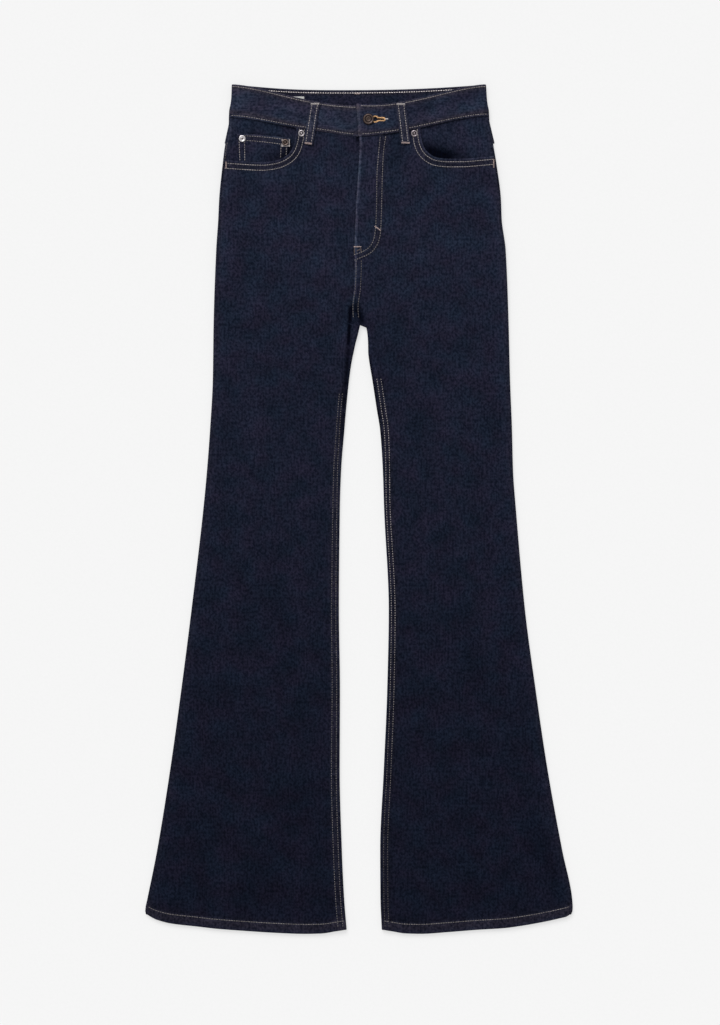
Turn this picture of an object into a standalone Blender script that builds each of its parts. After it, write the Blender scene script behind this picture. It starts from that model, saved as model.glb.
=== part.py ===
"""Flared five-pocket jeans laid flat on their back, one solid for each cut and sewn piece.

Frame: +X towards the wearer's left, +Y from the hems to the waist, +Z up from the surface that the
jeans lie on, with y = 0 at half their length. Tables and sizes are in millimetres, and MM turns
them into metres where a mesh is made.

Every cut piece is a cloth wall: a grid of points on its outer face, and the same grid set one cloth
thickness inward along the outward direction of each point. Side seams and inseams lie on the
outline, where the border of a front piece bends down and the border of a back piece bends up until
they meet, one seam gap apart.
"""

import math
from collections import namedtuple

import bmesh
import bpy
import numpy as np

MM = 0.001

# Cloth and clearances
CLOTH = 1.2
BAND_CLOTH = 1.8
LABEL_CLOTH = 0.8
SEAM_GAP = 0.3
BAND_SEAM_GAP = 0.5
LAYER_GAP = 0.5
HEM_RAISE = 0.4
HEM_DEPTH = 14.0

# The garment
WAIST_TOP = 569.0
WAIST_HALF = 171.0
BAND_HEIGHT = 40.0
FRONT_DIP = 28.0
FRONT_DIP_POWER = 1.75
BACK_DIP = 7.6
CROTCH = (1.3, 247.5)
HEM_CORNER = -543.0
CENTRE_GAP_RUNS_OUT = 12.0
INSEAM_TURN_LENGTH = 34.0
PANEL_BEND = 2.4
BAND_BEND = 2.8

# The fly and the tab of the waistband, which lap the wearer's left side over the right one
FLY_END = 353.0
FLY_UNDERLAP = 16.0
FLY_UNDERLAP_RUNS_OUT = 12.0
FLY_LIFT = CLOTH + LAYER_GAP
FLY_LAP_FADE = (21.0, 48.0)
FLY_LAP_START = (293.0, 339.0)
TAB_END = -2.0
TAB_RISE = 2.8
TAB_RISE_POWER = 8
TAB_LAP_FADE = (36.0, 84.0)
BAND_UNDERLAP_END = 29.0
BAND_END_SLANT = 0.09

# The seat lies on its patch pockets and belt loops, which lie on the surface below
SEAT_LIFT = CLOTH + SEAM_GAP
SEAT_START = 200.0
SEAT_FULL = 285.0
LEG_SEAM_LEVEL = 2.2
SEAT_SEAM_LEVEL = 3.5
BAND_SEAM_LEVEL = 3.9
BAND_LEVEL = 8.2
BAND_SIDE_FALL = 1.2
BAND_SIDE_FALL_FROM = 100.0

# The yoke and the patch pockets of the back
YOKE_AT_SIDE = 38.0
YOKE_AT_CENTRE = 72.0
PATCH_WIDTH = 138.0
PATCH_FOOT_WIDTH = 122.0
PATCH_SIDE_HEIGHT = 128.0
PATCH_HEIGHT = 150.0
PATCH_CENTRE = (92.0, 364.0)
PATCH_TILT = math.radians(4.0)

# Front pockets
FACING_UNDER = (12.0, -15.0)
FACING_UNDER_FROM = (0.02, 0.16)
COIN_SINK = CLOTH + SEAM_GAP
COIN_SINK_STARTS = (4.0, 11.0)
COIN_SINK_ENDS = (506.0, 520.0)

# Belt loops
LOOP_WIDTH = 12.0
LOOP_BOW = 1.2
LOOP_SEAT = 0.35

# Blank tape inside the back waistband, from corner to corner
LABEL_CORNERS = ((-105.7, 553.3), (-73.7, 535.3))

# Metal
BUTTON_PLACE = (12.7, 522.6)
BUTTON_RADIUS = 7.5
SHANK_RADIUS = 2.0
EYE_X = 21.8
EYE_RADIUS = 2.7
SLIT_END = 33.0
SLIT_WIDTH = 1.4
CUT_DEPTH = 8.0
RIVET_RADIUS = 4.75
RIVET_SEAT = 0.45

Edge = namedtuple("Edge", "y right left")

# x of the side seams, right and left leg, from the waist to the hem
SIDE_SEAMS = (
    Edge(569.0, -170.6, 170.4),
    Edge(528.0, -174.3, 174.4),
    Edge(463.0, -182.8, 184.4),
    Edge(414.7, -187.6, 190.4),
    Edge(347.7, -191.5, 196.7),
    Edge(247.5, -195.0, 200.7),
    Edge(173.5, -196.1, 202.6),
    Edge(106.5, -199.8, 205.4),
    Edge(-0.7, -208.9, 210.9),
    Edge(-134.7, -224.7, 222.6),
    Edge(-241.9, -238.4, 236.9),
    Edge(-349.1, -253.3, 252.9),
    Edge(-456.3, -270.6, 272.4),
    Edge(-523.3, -284.1, 286.0),
    Edge(-543.0, -286.6, 286.6),
)

# x of the inseams, right and left leg, from the crotch to the hem
INSEAMS = (
    Edge(247.5, 1.3, 1.3),
    Edge(245.5, 0.8, 8.8),
    Edge(240.0, -0.4, 10.3),
    Edge(219.1, -5.4, 11.8),
    Edge(200.0, -9.5, 13.5),
    Edge(173.5, -13.3, 17.9),
    Edge(132.7, -17.4, 24.1),
    Edge(106.5, -19.6, 28.3),
    Edge(53.0, -23.9, 31.9),
    Edge(-0.7, -25.7, 33.7),
    Edge(-134.7, -26.9, 39.9),
    Edge(-241.9, -25.5, 37.8),
    Edge(-349.1, -25.9, 33.2),
    Edge(-456.3, -23.0, 28.4),
    Edge(-523.3, -19.8, 28.8),
    Edge(-563.5, -16.5, 30.5),
)

Seam = namedtuple("Seam", "y x")

# The centre front from the tab down the fly and the crotch seam, and the centre back
CENTRE_FRONT = (
    Seam(545.0, -2.0),
    Seam(500.0, 2.4),
    Seam(415.0, -1.3),
    Seam(353.0, -5.4),
    Seam(321.0, -7.0),
    Seam(294.0, -8.7),
    Seam(277.0, -10.0),
    Seam(257.0, -9.0),
    Seam(251.0, -5.0),
    Seam(247.5, 1.3),
)
CENTRE_BACK = (Seam(545.0, -0.5), Seam(400.0, 0.0), Seam(247.5, 1.3))

Band = namedtuple("Band", "x height")

# Height of the waistband, from the right side seam round the front to the left one
BAND_HEIGHTS = (
    Band(-171.0, 43.0),
    Band(-145.0, 42.4),
    Band(-115.0, 41.2),
    Band(-85.0, 39.5),
    Band(-54.0, 37.6),
    Band(-40.0, 37.5),
    Band(-25.0, 38.5),
    Band(0.0, 40.0),
    Band(22.0, 39.1),
    Band(80.0, 38.8),
    Band(110.0, 39.3),
    Band(140.0, 40.4),
    Band(171.0, 41.0),
)

Point = namedtuple("Point", "x y")

# The open edge of each front pocket, from the side seam round to the waistband
POCKET_EDGES = {
    "right": (
        Point(-182.3, 467.8),
        Point(-159.5, 466.2),
        Point(-130.0, 464.8),
        Point(-113.2, 466.7),
        Point(-100.8, 471.3),
        Point(-92.5, 477.9),
        Point(-87.6, 487.0),
        Point(-84.8, 499.0),
        Point(-83.6, 512.0),
    ),
    "left": (
        Point(183.0, 473.2),
        Point(162.0, 471.2),
        Point(139.4, 469.5),
        Point(119.3, 469.4),
        Point(103.2, 471.3),
        Point(94.6, 475.9),
        Point(88.2, 482.6),
        Point(84.2, 492.5),
        Point(82.6, 503.0),
        Point(81.9, 511.5),
    ),
}

# Corners of the coin pocket, which hangs in the right pocket's opening
COIN_CORNERS = {
    "top": (Point(-162.8, 503.0), Point(-92.8, 497.0)),
    "bottom": (Point(-161.0, 457.0), Point(-99.5, 457.0)),
}

Drop = namedtuple("Drop", "share depth")

# How far the hem hangs below the side seam's end, by its share of the way to the inseam
HEM_CURVE = (
    Drop(0.0, 0.0),
    Drop(0.05, 8.5),
    Drop(0.12, 12.0),
    Drop(0.25, 16.0),
    Drop(0.35, 19.0),
    Drop(0.5, 22.0),
    Drop(0.65, 24.5),
    Drop(0.8, 25.9),
    Drop(0.88, 25.4),
    Drop(0.95, 22.6),
    Drop(1.0, 20.5),
)

Height = namedtuple("Height", "y level")

# Level of the front's outer face along the garment
FRONT_HEIGHTS = (
    Height(530.0, 7.2),
    Height(504.0, 7.5),
    Height(465.0, 7.8),
    Height(400.0, 7.4),
    Height(330.0, 6.6),
    Height(247.5, 5.6),
    Height(100.0, 4.7),
    Height(-100.0, 4.4),
    Height(-570.0, 4.3),
)

Crease = namedtuple("Crease", "name x0 y0 x1 y1 width depth")

# The largest soft folds of the front, each a trough along a line, and the hollow at the crotch
CREASES = (
    Crease("crotch_hollow", 0.0, 252.0, 1.3, 246.0, 15.0, 1.45),
    Crease("right_inseam", -10.5, 285.0, -17.0, 185.0, 7.0, 0.8),
    Crease("left_thigh", 8.0, 262.0, 34.0, 170.0, 9.0, 0.4),
    Crease("left_knee", 112.0, -45.0, 172.0, -255.0, 17.0, 0.8),
    Crease("right_shin", -76.0, -385.0, -152.0, -505.0, 24.0, 0.7),
    Crease("left_shin", 62.0, -455.0, 132.0, -520.0, 22.0, 0.6),
    Crease("right_knee", -120.0, -60.0, -100.0, -190.0, 20.0, 0.5),
)

Loop = namedtuple("Loop", "name top foot")

FRONT_LOOPS = (
    Loop("belt_loop_front_right", Point(-59.6, 544.8), Point(-67.8, 489.6)),
    Loop("belt_loop_front_left", Point(55.9, 544.3), Point(62.4, 489.8)),
)
BACK_LOOPS = (
    Loop("belt_loop_side_right", Point(-158.0, 563.0), Point(-174.6, 490.0)),
    Loop("belt_loop_side_left", Point(158.0, 563.0), Point(175.4, 490.0)),
    Loop("belt_loop_back", Point(0.0, 558.0), Point(0.0, 503.0)),
)

RIVETS = {
    "rivet_pocket_right": Point(-77.0, 504.0),
    "rivet_pocket_left": Point(74.1, 503.8),
    "rivet_coin_outer": Point(-156.5, 497.0),
    "rivet_coin_inner": Point(-98.8, 492.0),
}

# Shares at which the grids are cut
BORDER_ANGLES = np.radians([90.0, 60.0, 30.0])
LEAST_TURN = 0.02
POCKET_SHARE = 0.59
FRONT_ACROSS = np.array([0, 0.04, 0.12, 0.22, 0.32, 0.41, 0.48, 0.54, 0.59, 0.7, 0.8, 0.88, 0.95, 1])
BACK_ACROSS = np.array([0, 0.04, 0.12, 0.25, 0.4, 0.55, 0.7, 0.82, 0.9, 0.96, 1])
HIP_DOWN = np.array([0, 0.1, 0.22, 0.35, 0.48, 0.585, 0.63, 0.73, 0.83, 0.91, 0.96, 0.985, 1])
SEAT_DOWN = np.array([0, 0.2, 0.45, 0.7, 0.85, 0.95, 0.985, 1])
HEM_SHARE = HEM_DEPTH / (CROTCH[1] - HEM_CORNER)
FRONT_LEG_DOWN = np.array([0, 0.003, 0.01, 0.03, 0.06, 0.1, 0.16, 0.23, 0.31, 0.39, 0.47, 0.55, 0.63,
                           0.71, 0.79, 0.87, 0.94, 0.998 - HEM_SHARE, 1 - HEM_SHARE, 1])
BACK_LEG_DOWN = np.array([0, 0.003, 0.01, 0.03, 0.07, 0.15, 0.27, 0.4, 0.55, 0.7, 0.85, 0.94,
                          0.998 - HEM_SHARE, 1 - HEM_SHARE, 1])
HEM_ROWS = 2

Finish = namedtuple("Finish", "colour roughness metallic")
FINISHES = {
    "denim": Finish((0.011, 0.016, 0.045), 0.9, 0.0),
    "bronze": Finish((0.09, 0.06, 0.045), 0.4, 1.0),
    "nickel": Finish((0.42, 0.4, 0.38), 0.35, 1.0),
    "white_tape": Finish((0.8, 0.8, 0.78), 0.7, 0.0),
}


# Curves and levels


def curve_through(at, knots, values):
    """A monotone cubic through (knots, values), read at the given places; knots may run either way."""
    order = np.argsort(knots)
    knots = np.asarray(knots, float)[order]
    values = np.asarray(values, float)[order]
    step = np.diff(knots)
    slope = np.diff(values) / step
    product = slope[:-1] * slope[1:]
    middle = np.where(product > 0, 2 * product / np.where(product > 0, slope[:-1] + slope[1:], 1), 0)
    tangent = np.concatenate([slope[:1], middle, slope[-1:]])
    cell = np.clip(np.searchsorted(knots, at) - 1, 0, len(step) - 1)
    t = np.clip((at - knots[cell]) / step[cell], 0, 1)
    start = (1 + 2 * t) * (1 - t) ** 2 * values[cell] + t * (1 - t) ** 2 * step[cell] * tangent[cell]
    end = t**2 * (3 - 2 * t) * values[cell + 1] - t**2 * (1 - t) * step[cell] * tangent[cell + 1]
    return start + end


def read_table(table, column, at):
    """Column of a table as a smooth function of the table's first column."""
    return curve_through(at, [row[0] for row in table], [getattr(row, column) for row in table])


def ease(low, high, at):
    """0 below low, 1 above high, and a smooth step between them."""
    t = np.clip((at - low) / (high - low), 0, 1)
    return t * t * (3 - 2 * t)


def path_through(points, shares):
    """A smooth path through a few points, read at shares of its length."""
    points = np.array(points, float)
    length = np.concatenate([[0], np.cumsum(np.linalg.norm(np.diff(points, axis=0), axis=1))])
    at = np.asarray(shares) * length[-1]
    return np.column_stack([curve_through(at, length, points[:, k]) for k in (0, 1)])


def waist_edge(x, dip, power):
    """y of the waistband's top edge: a bowl that dips at the centre and runs out at the sides."""
    share = np.clip(np.abs(x) / WAIST_HALF, 0, 1)
    return WAIST_TOP - dip * (1 - share**2) ** power


def front_waist(x):
    return waist_edge(x, FRONT_DIP, FRONT_DIP_POWER)


def back_waist(x):
    return waist_edge(x, BACK_DIP, 1)


def band_height(x):
    """Height of the waistband, which widens a little towards the side seams."""
    return read_table(BAND_HEIGHTS, "height", x)


def front_band_seam(x):
    return front_waist(x) - band_height(x)


def back_band_seam(x):
    return back_waist(x) - band_height(x)


def yoke_seam(x):
    """y of the seam below the yoke: a V that is deepest at the centre back."""
    share = np.clip(np.abs(x) / WAIST_HALF, 0, 1)
    return back_band_seam(x) - YOKE_AT_CENTRE + (YOKE_AT_CENTRE - YOKE_AT_SIDE) * share


def seat(y):
    return ease(SEAT_START, SEAT_FULL, y)


def underside(x, y):
    """Level of the back's outer face: on the surface along the legs, on the pockets at the seat."""
    return SEAT_LIFT * seat(y) + 0 * x


def seam_level(y):
    """Level at which the front and back borders meet."""
    return LEG_SEAM_LEVEL + (SEAT_SEAM_LEVEL - LEG_SEAM_LEVEL) * seat(y)


def trough(crease, x, y):
    """Depth of one fold at (x, y): a bell across its line, running out past both ends."""
    along = np.array([crease.x1 - crease.x0, crease.y1 - crease.y0])
    share = np.clip(((x - crease.x0) * along[0] + (y - crease.y0) * along[1]) / (along @ along), 0, 1)
    away = np.hypot(x - crease.x0 - share * along[0], y - crease.y0 - share * along[1])
    return crease.depth * np.exp(-((away / crease.width) ** 2))


def front_level(x, y):
    """Level of the front's outer face, without the fly's lap."""
    level = read_table(FRONT_HEIGHTS, "level", y)
    for crease in CREASES:
        level = level - trough(crease, x, y)
    return level


def fly_lap(x, y):
    """How far the left front is lifted by the right one's underlap."""
    return FLY_LIFT * (1 - ease(*FLY_LAP_FADE, x)) * ease(*FLY_LAP_START, y)


def left_front_level(x, y):
    return front_level(x, y) + fly_lap(x, y)


def facing_level(x, y):
    """Level of a pocket facing, one layer below the front."""
    return front_level(x, y) - CLOTH - LAYER_GAP


def right_facing_level(x, y):
    """The right facing sinks by one more layer, under the coin pocket."""
    beside = ease(*COIN_SINK_STARTS, x - read_table(SIDE_SEAMS, "right", y))
    return facing_level(x, y) - COIN_SINK * beside * (1 - ease(*COIN_SINK_ENDS, y))


def band_level(x, y):
    """Level of the front waistband's outer face, lower where it rounds over at the sides."""
    return BAND_LEVEL - BAND_SIDE_FALL * ease(BAND_SIDE_FALL_FROM, WAIST_HALF, np.abs(x)) + 0 * y


def left_band_level(x, y):
    """The tab lies on the end of the right half of the waistband."""
    return band_level(x, y) + (BAND_CLOTH + LAYER_GAP) * (1 - ease(*TAB_LAP_FADE, x))


# Grids of points


Border = namedtuple("Border", "edge inward turn radius")


def border(edge, inward_side, turn, radius):
    """A bent border along an edge that runs mostly along the garment, with the cloth beside it.

    inward_side is 1 where the cloth lies towards +X and -1 where it lies towards -X. turn is the
    share of a right angle that the border bends through, for each point of the edge.
    """
    inward = np.column_stack([np.full(len(edge), inward_side), np.zeros(len(edge))])
    return Border(edge, inward, np.maximum(turn + np.zeros(len(edge)), LEAST_TURN), radius)


def border_reach(bend, angle):
    """Distance from the flat cloth to the point at this angle: radius * sin(turn * angle) / turn."""
    return (bend.radius * np.sin(bend.turn * angle) / bend.turn)[:, None]


def flat_edge(bend):
    return bend.edge + bend.inward * border_reach(bend, math.pi / 2)


def patch(top, bottom, outer, inner, across, down):
    """A Coons patch stretched between four edges, whose ends are first drawn to the side edges."""
    u = across[None, :, None]
    v = down[:, None, None]
    top = top + (1 - across)[:, None] * (outer[0] - top[0]) + across[:, None] * (inner[0] - top[-1])
    bottom = (bottom + (1 - across)[:, None] * (outer[-1] - bottom[0])
              + across[:, None] * (inner[-1] - bottom[-1]))
    between_ends = (1 - v) * top[None] + v * bottom[None]
    between_sides = (1 - u) * outer[:, None] + u * inner[:, None]
    corners = ((1 - v) * ((1 - u) * outer[0] + u * inner[0])
               + v * ((1 - u) * outer[-1] + u * inner[-1]))
    return between_ends + between_sides - corners


def bent_column(bend, angle, level, up, meet):
    """Points and outward directions of a border at one angle: a quarter ellipse down to the seam."""
    flat = flat_edge(bend)
    height = level(flat[:, 0], flat[:, 1])
    drop = up * (height - meet(bend.edge[:, 1])) - SEAM_GAP / 2
    lean = bend.turn * angle
    place = flat - bend.inward * border_reach(bend, angle)
    z = height - up * drop * (1 - np.cos(lean))
    sideways = -bend.inward * (drop * np.sin(lean))[:, None]
    away = np.column_stack([sideways, up * bend.radius / bend.turn * np.cos(lean)])
    return np.column_stack([place, z]), away / np.linalg.norm(away, axis=1, keepdims=True)


def sheet(flat, level, up=1, outer=None, inner=None, meet=seam_level):
    """Outer face of a piece: its flat grid at the given level, with bent borders at either side.

    meet gives the level where a border ends, half a gap short of the piece that it is sewn to.
    """
    z = level(flat[..., 0], flat[..., 1])
    points = np.concatenate([flat, z[..., None]], axis=2)
    away = np.zeros_like(points)
    away[..., 2] = up
    if outer is not None:
        strips = [bent_column(outer, angle, level, up, meet) for angle in BORDER_ANGLES]
        points = np.concatenate([np.stack([s[0] for s in strips], 1), points], axis=1)
        away = np.concatenate([np.stack([s[1] for s in strips], 1), away], axis=1)
    if inner is not None:
        strips = [bent_column(inner, angle, level, up, meet) for angle in BORDER_ANGLES[::-1]]
        points = np.concatenate([points, np.stack([s[0] for s in strips], 1)], axis=1)
        away = np.concatenate([away, np.stack([s[1] for s in strips], 1)], axis=1)
    return points, away


# Meshes


def finish_material(name):
    """One Principled material for each finish."""
    made = bpy.data.materials.get(name)
    if made:
        return made
    finish = FINISHES[name]
    made = bpy.data.materials.new(name)
    made.use_nodes = True
    shader = made.node_tree.nodes["Principled BSDF"]
    shader.inputs["Base Color"].default_value = (*finish.colour, 1)
    shader.inputs["Roughness"].default_value = finish.roughness
    shader.inputs["Metallic"].default_value = finish.metallic
    return made


def add_object(name, mesh, finish, collection):
    mesh.materials.append(finish_material(finish))
    made = bpy.data.objects.new(name, mesh)
    collection.objects.link(made)
    return made


def wall(name, points, away, thickness, collection, finish="denim"):
    """A closed wall between an outer grid and the same grid set inward by the cloth's thickness."""
    rows, columns = points.shape[:2]
    thickness = np.broadcast_to(thickness, (rows, columns))[..., None]
    places = np.concatenate([points.reshape(-1, 3), (points - away * thickness).reshape(-1, 3)]) * MM
    number = np.arange(rows * columns).reshape(rows, columns)
    ring = np.concatenate([number[0], number[1:, -1], number[-1, -2::-1], number[-2:0:-1, 0]])
    quads = np.stack([number[:-1, :-1], number[:-1, 1:], number[1:, 1:], number[1:, :-1]], axis=-1)
    quads = quads.reshape(-1, 4)
    under = rows * columns
    following = np.roll(ring, -1)
    rim = np.column_stack([following, ring, ring + under, following + under])
    faces = np.concatenate([quads, quads[:, ::-1] + under, rim])
    mesh = bpy.data.meshes.new(name)
    mesh.from_pydata(places.tolist(), [], faces.tolist())
    shape = bmesh.new()
    shape.from_mesh(mesh)
    bmesh.ops.recalc_face_normals(shape, faces=shape.faces)
    shape.to_mesh(mesh)
    shape.free()
    mesh.shade_smooth()
    mesh.set_sharp_from_angle(angle=math.radians(40))
    return add_object(name, mesh, finish, collection)


def turned(name, profile, place, level, collection, finish, steps=24):
    """A solid turned about its upright axis. The profile is (radius, height) rows, top to bottom."""
    mesh = bpy.data.meshes.new(name)
    corners = [(radius * MM, 0, height * MM) for radius, height in profile]
    mesh.from_pydata(corners, [(k, k + 1) for k in range(len(corners) - 1)], [])
    made = add_object(name, mesh, finish, collection)
    made.location = (place[0] * MM, place[1] * MM, level * MM)
    turn = made.modifiers.new("turn", "SCREW")
    turn.steps = turn.render_steps = steps
    turn.use_merge_vertices = True
    turn.merge_threshold = 0.00001
    return made


# Edges of the panels


def side_edge(side, y):
    return np.column_stack([read_table(SIDE_SEAMS, side, y), y])


def inner_edge(side, seam, y):
    """The inner edge of a leg and of the hip above it: the centre seam, then the inseam."""
    hip = y > CROTCH[1]
    x = np.where(hip, read_table(seam, "x", y), read_table(INSEAMS, side, y))
    return np.column_stack([x, y])


def sign_of(side):
    return 1 if side == "left" else -1


def hem_line(side, across):
    """The hem from the side seam to the inseam, drawn to the panel's own corners by the patch."""
    y = HEM_CORNER - read_table(HEM_CURVE, "depth", across)
    outer_x = getattr(SIDE_SEAMS[-1], side)
    inner_x = getattr(INSEAMS[-1], side)
    return np.column_stack([outer_x + (inner_x - outer_x) * across, y])


def levels_down(top, hip_shares, leg_shares, foot):
    """y of every row along a side edge, closer together where the shares are."""
    hip = top + (CROTCH[1] - top) * hip_shares
    leg = CROTCH[1] + (foot - CROTCH[1]) * leg_shares
    return np.concatenate([hip, leg[1:]])


def apart(edge, inward_side, distance):
    """An edge that runs from the waist down, set squarely towards its own panel by a distance."""
    along = np.gradient(edge, axis=0)
    along /= np.linalg.norm(along, axis=1, keepdims=True)
    inward = inward_side * np.column_stack([-along[:, 1], along[:, 0]])
    return edge + inward * np.reshape(distance, (-1, 1))


def leg_panel(name, side, seam, top, level, up, across, hip_shares, leg_shares, collection,
              underlap=None):
    """A front or back panel: a hip patch above a leg patch, joined at the crotch line.

    top gives the upper edge between two x. The outer border is bent all the way down. The inner one
    is plain along the centre seam and turns over below the crotch.
    """
    sign = sign_of(side)
    outer_start, inner_start = top(side, across, None, None)[[0, -1], 1]
    outer_y = levels_down(outer_start, hip_shares, leg_shares, HEM_CORNER)
    inner_y = levels_down(inner_start, hip_shares, leg_shares, HEM_CORNER - HEM_CURVE[-1].depth)
    outer = border(side_edge(side, outer_y), -sign, 1, PANEL_BEND)
    edge = inner_edge(side, seam, inner_y)
    if underlap is not None:
        edge[:, 0] += underlap(inner_y)
    centred = ease(CROTCH[1] - CENTRE_GAP_RUNS_OUT, CROTCH[1], inner_y)
    edge = apart(edge, sign, SEAM_GAP / 2 * centred)
    turn = 1 - ease(CROTCH[1] - INSEAM_TURN_LENGTH, CROTCH[1], inner_y)
    inner = border(edge, sign, turn, PANEL_BEND)
    crotch_row = len(hip_shares) - 1
    outer_flat = flat_edge(outer)
    inner_flat = flat_edge(inner)
    crotch_line = (outer_flat[crotch_row] * (1 - across)[:, None]
                   + inner_flat[crotch_row] * across[:, None])
    upper = top(side, across, outer_flat[0, 0], inner_flat[0, 0])
    hip = patch(upper, crotch_line, outer_flat[: crotch_row + 1], inner_flat[: crotch_row + 1],
                across, hip_shares)
    leg = patch(crotch_line, hem_line(side, across), outer_flat[crotch_row:], inner_flat[crotch_row:],
                across, leg_shares)
    points, away = sheet(np.concatenate([hip, leg[1:]]), level, up, outer, inner)
    thickness = np.full(points.shape[:2], CLOTH)
    thickness[-HEM_ROWS:] += HEM_RAISE
    points[-HEM_ROWS:, :, 2] += HEM_RAISE * np.maximum(away[-HEM_ROWS:, :, 2], 0)
    return wall(name, points, away, thickness, collection)


# The pieces


def fly_underlap(y):
    """How far the right front runs on under the left one, down to the end of the fly."""
    return FLY_UNDERLAP * ease(FLY_END - FLY_UNDERLAP_RUNS_OUT, FLY_END, y)


def front_top(side, across, start_x, end_x):
    """The front's upper edge: the pocket's open edge, then the waistband seam to the centre."""
    in_pocket = across[across <= POCKET_SHARE] / POCKET_SHARE
    at_band = (across[across > POCKET_SHARE] - POCKET_SHARE) / (1 - POCKET_SHARE)
    pocket = path_through(POCKET_EDGES[side], in_pocket)
    if start_x is not None:
        pocket[0, 0] = start_x
    if end_x is None:
        end_x = read_table(CENTRE_FRONT, "x", front_band_seam(0))
    x = pocket[-1, 0] + (end_x - pocket[-1, 0]) * at_band
    band = np.column_stack([x, front_band_seam(x) - BAND_SEAM_GAP])
    pocket[-1, 1] = front_band_seam(pocket[-1, 0]) - BAND_SEAM_GAP
    return np.concatenate([pocket, band])


def front_panel(side, collection):
    level = left_front_level if side == "left" else front_level
    underlap = None if side == "left" else fly_underlap
    leg_panel("front_" + side, side, CENTRE_FRONT, front_top, level, 1,
              FRONT_ACROSS, HIP_DOWN, FRONT_LEG_DOWN, collection, underlap)


def seam_across(side, across, start_x, end_x, seam):
    """A seam from the side to the centre back, as (x, seam(x)) rows."""
    if start_x is None:
        start_x = getattr(SIDE_SEAMS[1], side)
    if end_x is None:
        end_x = 0
    x = start_x + (end_x - start_x) * across
    return np.column_stack([x, seam(x)])


def back_top(side, across, start_x, end_x):
    return seam_across(side, across, start_x, end_x, lambda x: yoke_seam(x) - SEAM_GAP / 2)


def yoke_foot(side, across, start_x, end_x):
    return seam_across(side, across, start_x, end_x, lambda x: yoke_seam(x) + SEAM_GAP / 2)


def yoke_top(side, across, start_x, end_x):
    return seam_across(side, across, start_x, end_x, lambda x: back_band_seam(x) - BAND_SEAM_GAP)


def back_panel(side, collection):
    leg_panel("back_" + side, side, CENTRE_BACK, back_top, underside, -1,
              BACK_ACROSS, SEAT_DOWN, BACK_LEG_DOWN, collection)


def yoke(side, collection):
    """The yoke between the back waistband and the back panel, with the panel's own columns."""
    sign = sign_of(side)
    down = np.linspace(0, 1, 4)
    high_ends = yoke_top(side, BACK_ACROSS, None, None)[[0, -1], 1]
    low_ends = yoke_foot(side, BACK_ACROSS, None, None)[[0, -1], 1]
    outer_y = high_ends[0] + (low_ends[0] - high_ends[0]) * down
    inner_y = high_ends[1] + (low_ends[1] - high_ends[1]) * down
    outer = border(side_edge(side, outer_y), -sign, 1, PANEL_BEND)
    centre = np.column_stack([read_table(CENTRE_BACK, "x", inner_y), inner_y])
    inner = border(apart(centre, sign, SEAM_GAP / 2), sign, 0, PANEL_BEND)
    start, end = flat_edge(outer), flat_edge(inner)
    high = yoke_top(side, BACK_ACROSS, start[0, 0], end[0, 0])
    low = yoke_foot(side, BACK_ACROSS, start[-1, 0], end[-1, 0])
    points, away = sheet(patch(high, low, start, end, BACK_ACROSS, down), underside, -1, outer, inner)
    wall("yoke_" + side, points, away, CLOTH, collection)


def back_pocket(side, collection):
    """A five-sided patch pocket: its foot is a shallow V. It lies flat under the seat."""
    sign = sign_of(side)
    u = np.linspace(-1, 1, 7)
    v = np.linspace(0, 1, 6)
    half = (PATCH_WIDTH + (PATCH_FOOT_WIDTH - PATCH_WIDTH) * v) / 2
    foot = PATCH_HEIGHT - (PATCH_HEIGHT - PATCH_SIDE_HEIGHT) * np.abs(u)
    x = u[None, :] * half[:, None]
    y = PATCH_HEIGHT / 2 - v[:, None] * foot[None, :]
    turned_x = x * math.cos(PATCH_TILT) - sign * y * math.sin(PATCH_TILT)
    turned_y = sign * x * math.sin(PATCH_TILT) + y * math.cos(PATCH_TILT)
    points = np.stack([turned_x + sign * PATCH_CENTRE[0], turned_y + PATCH_CENTRE[1], 0 * x], -1)
    away = np.zeros_like(points)
    away[..., 2] = -1
    wall("back_pocket_" + side, points, away, CLOTH, collection)


def pocket_facing(side, collection):
    """The piece seen in a pocket's opening. It runs on under the front, past the open edge."""
    sign = sign_of(side)
    across = np.linspace(0, 1, 12)
    down = np.array([0, 0.3, 0.6, 0.85, 1])
    opening = path_through(POCKET_EDGES[side], across)
    past_edge = ease(*FACING_UNDER_FROM, across)[:, None]
    under = past_edge * np.array([-sign * FACING_UNDER[0], FACING_UNDER[1]])
    low = opening + under
    low[0, 1] += SEAM_GAP
    top_y = front_band_seam(sign * WAIST_HALF) - BAND_SEAM_GAP
    outer_y = top_y + (low[0, 1] - top_y) * down
    outer = border(side_edge(side, outer_y), -sign, 1, PANEL_BEND)
    start = flat_edge(outer)
    x = start[0, 0] + (low[-1, 0] - start[0, 0]) * across
    high = np.column_stack([x, front_band_seam(x) - BAND_SEAM_GAP])
    low[0, 0] = start[-1, 0]
    inner = high[-1] + (low[-1] - high[-1]) * down[:, None]
    level = facing_level if side == "left" else right_facing_level
    points, away = sheet(patch(high, low, start, inner, across, down), level, 1, outer)
    wall("pocket_facing_" + side, points, away, CLOTH, collection)


def coin_pocket(collection):
    """A small patch on the right facing, with its foot under the front."""
    across = np.linspace(0, 1, 6)
    down = np.linspace(0, 1, 5)
    top = path_through(COIN_CORNERS["top"], across)
    foot = path_through(COIN_CORNERS["bottom"], across)
    flat = top[None] + (foot - top)[None] * down[:, None, None]
    points, away = sheet(flat, facing_level)
    wall("coin_pocket", points, away, CLOTH, collection)


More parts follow.
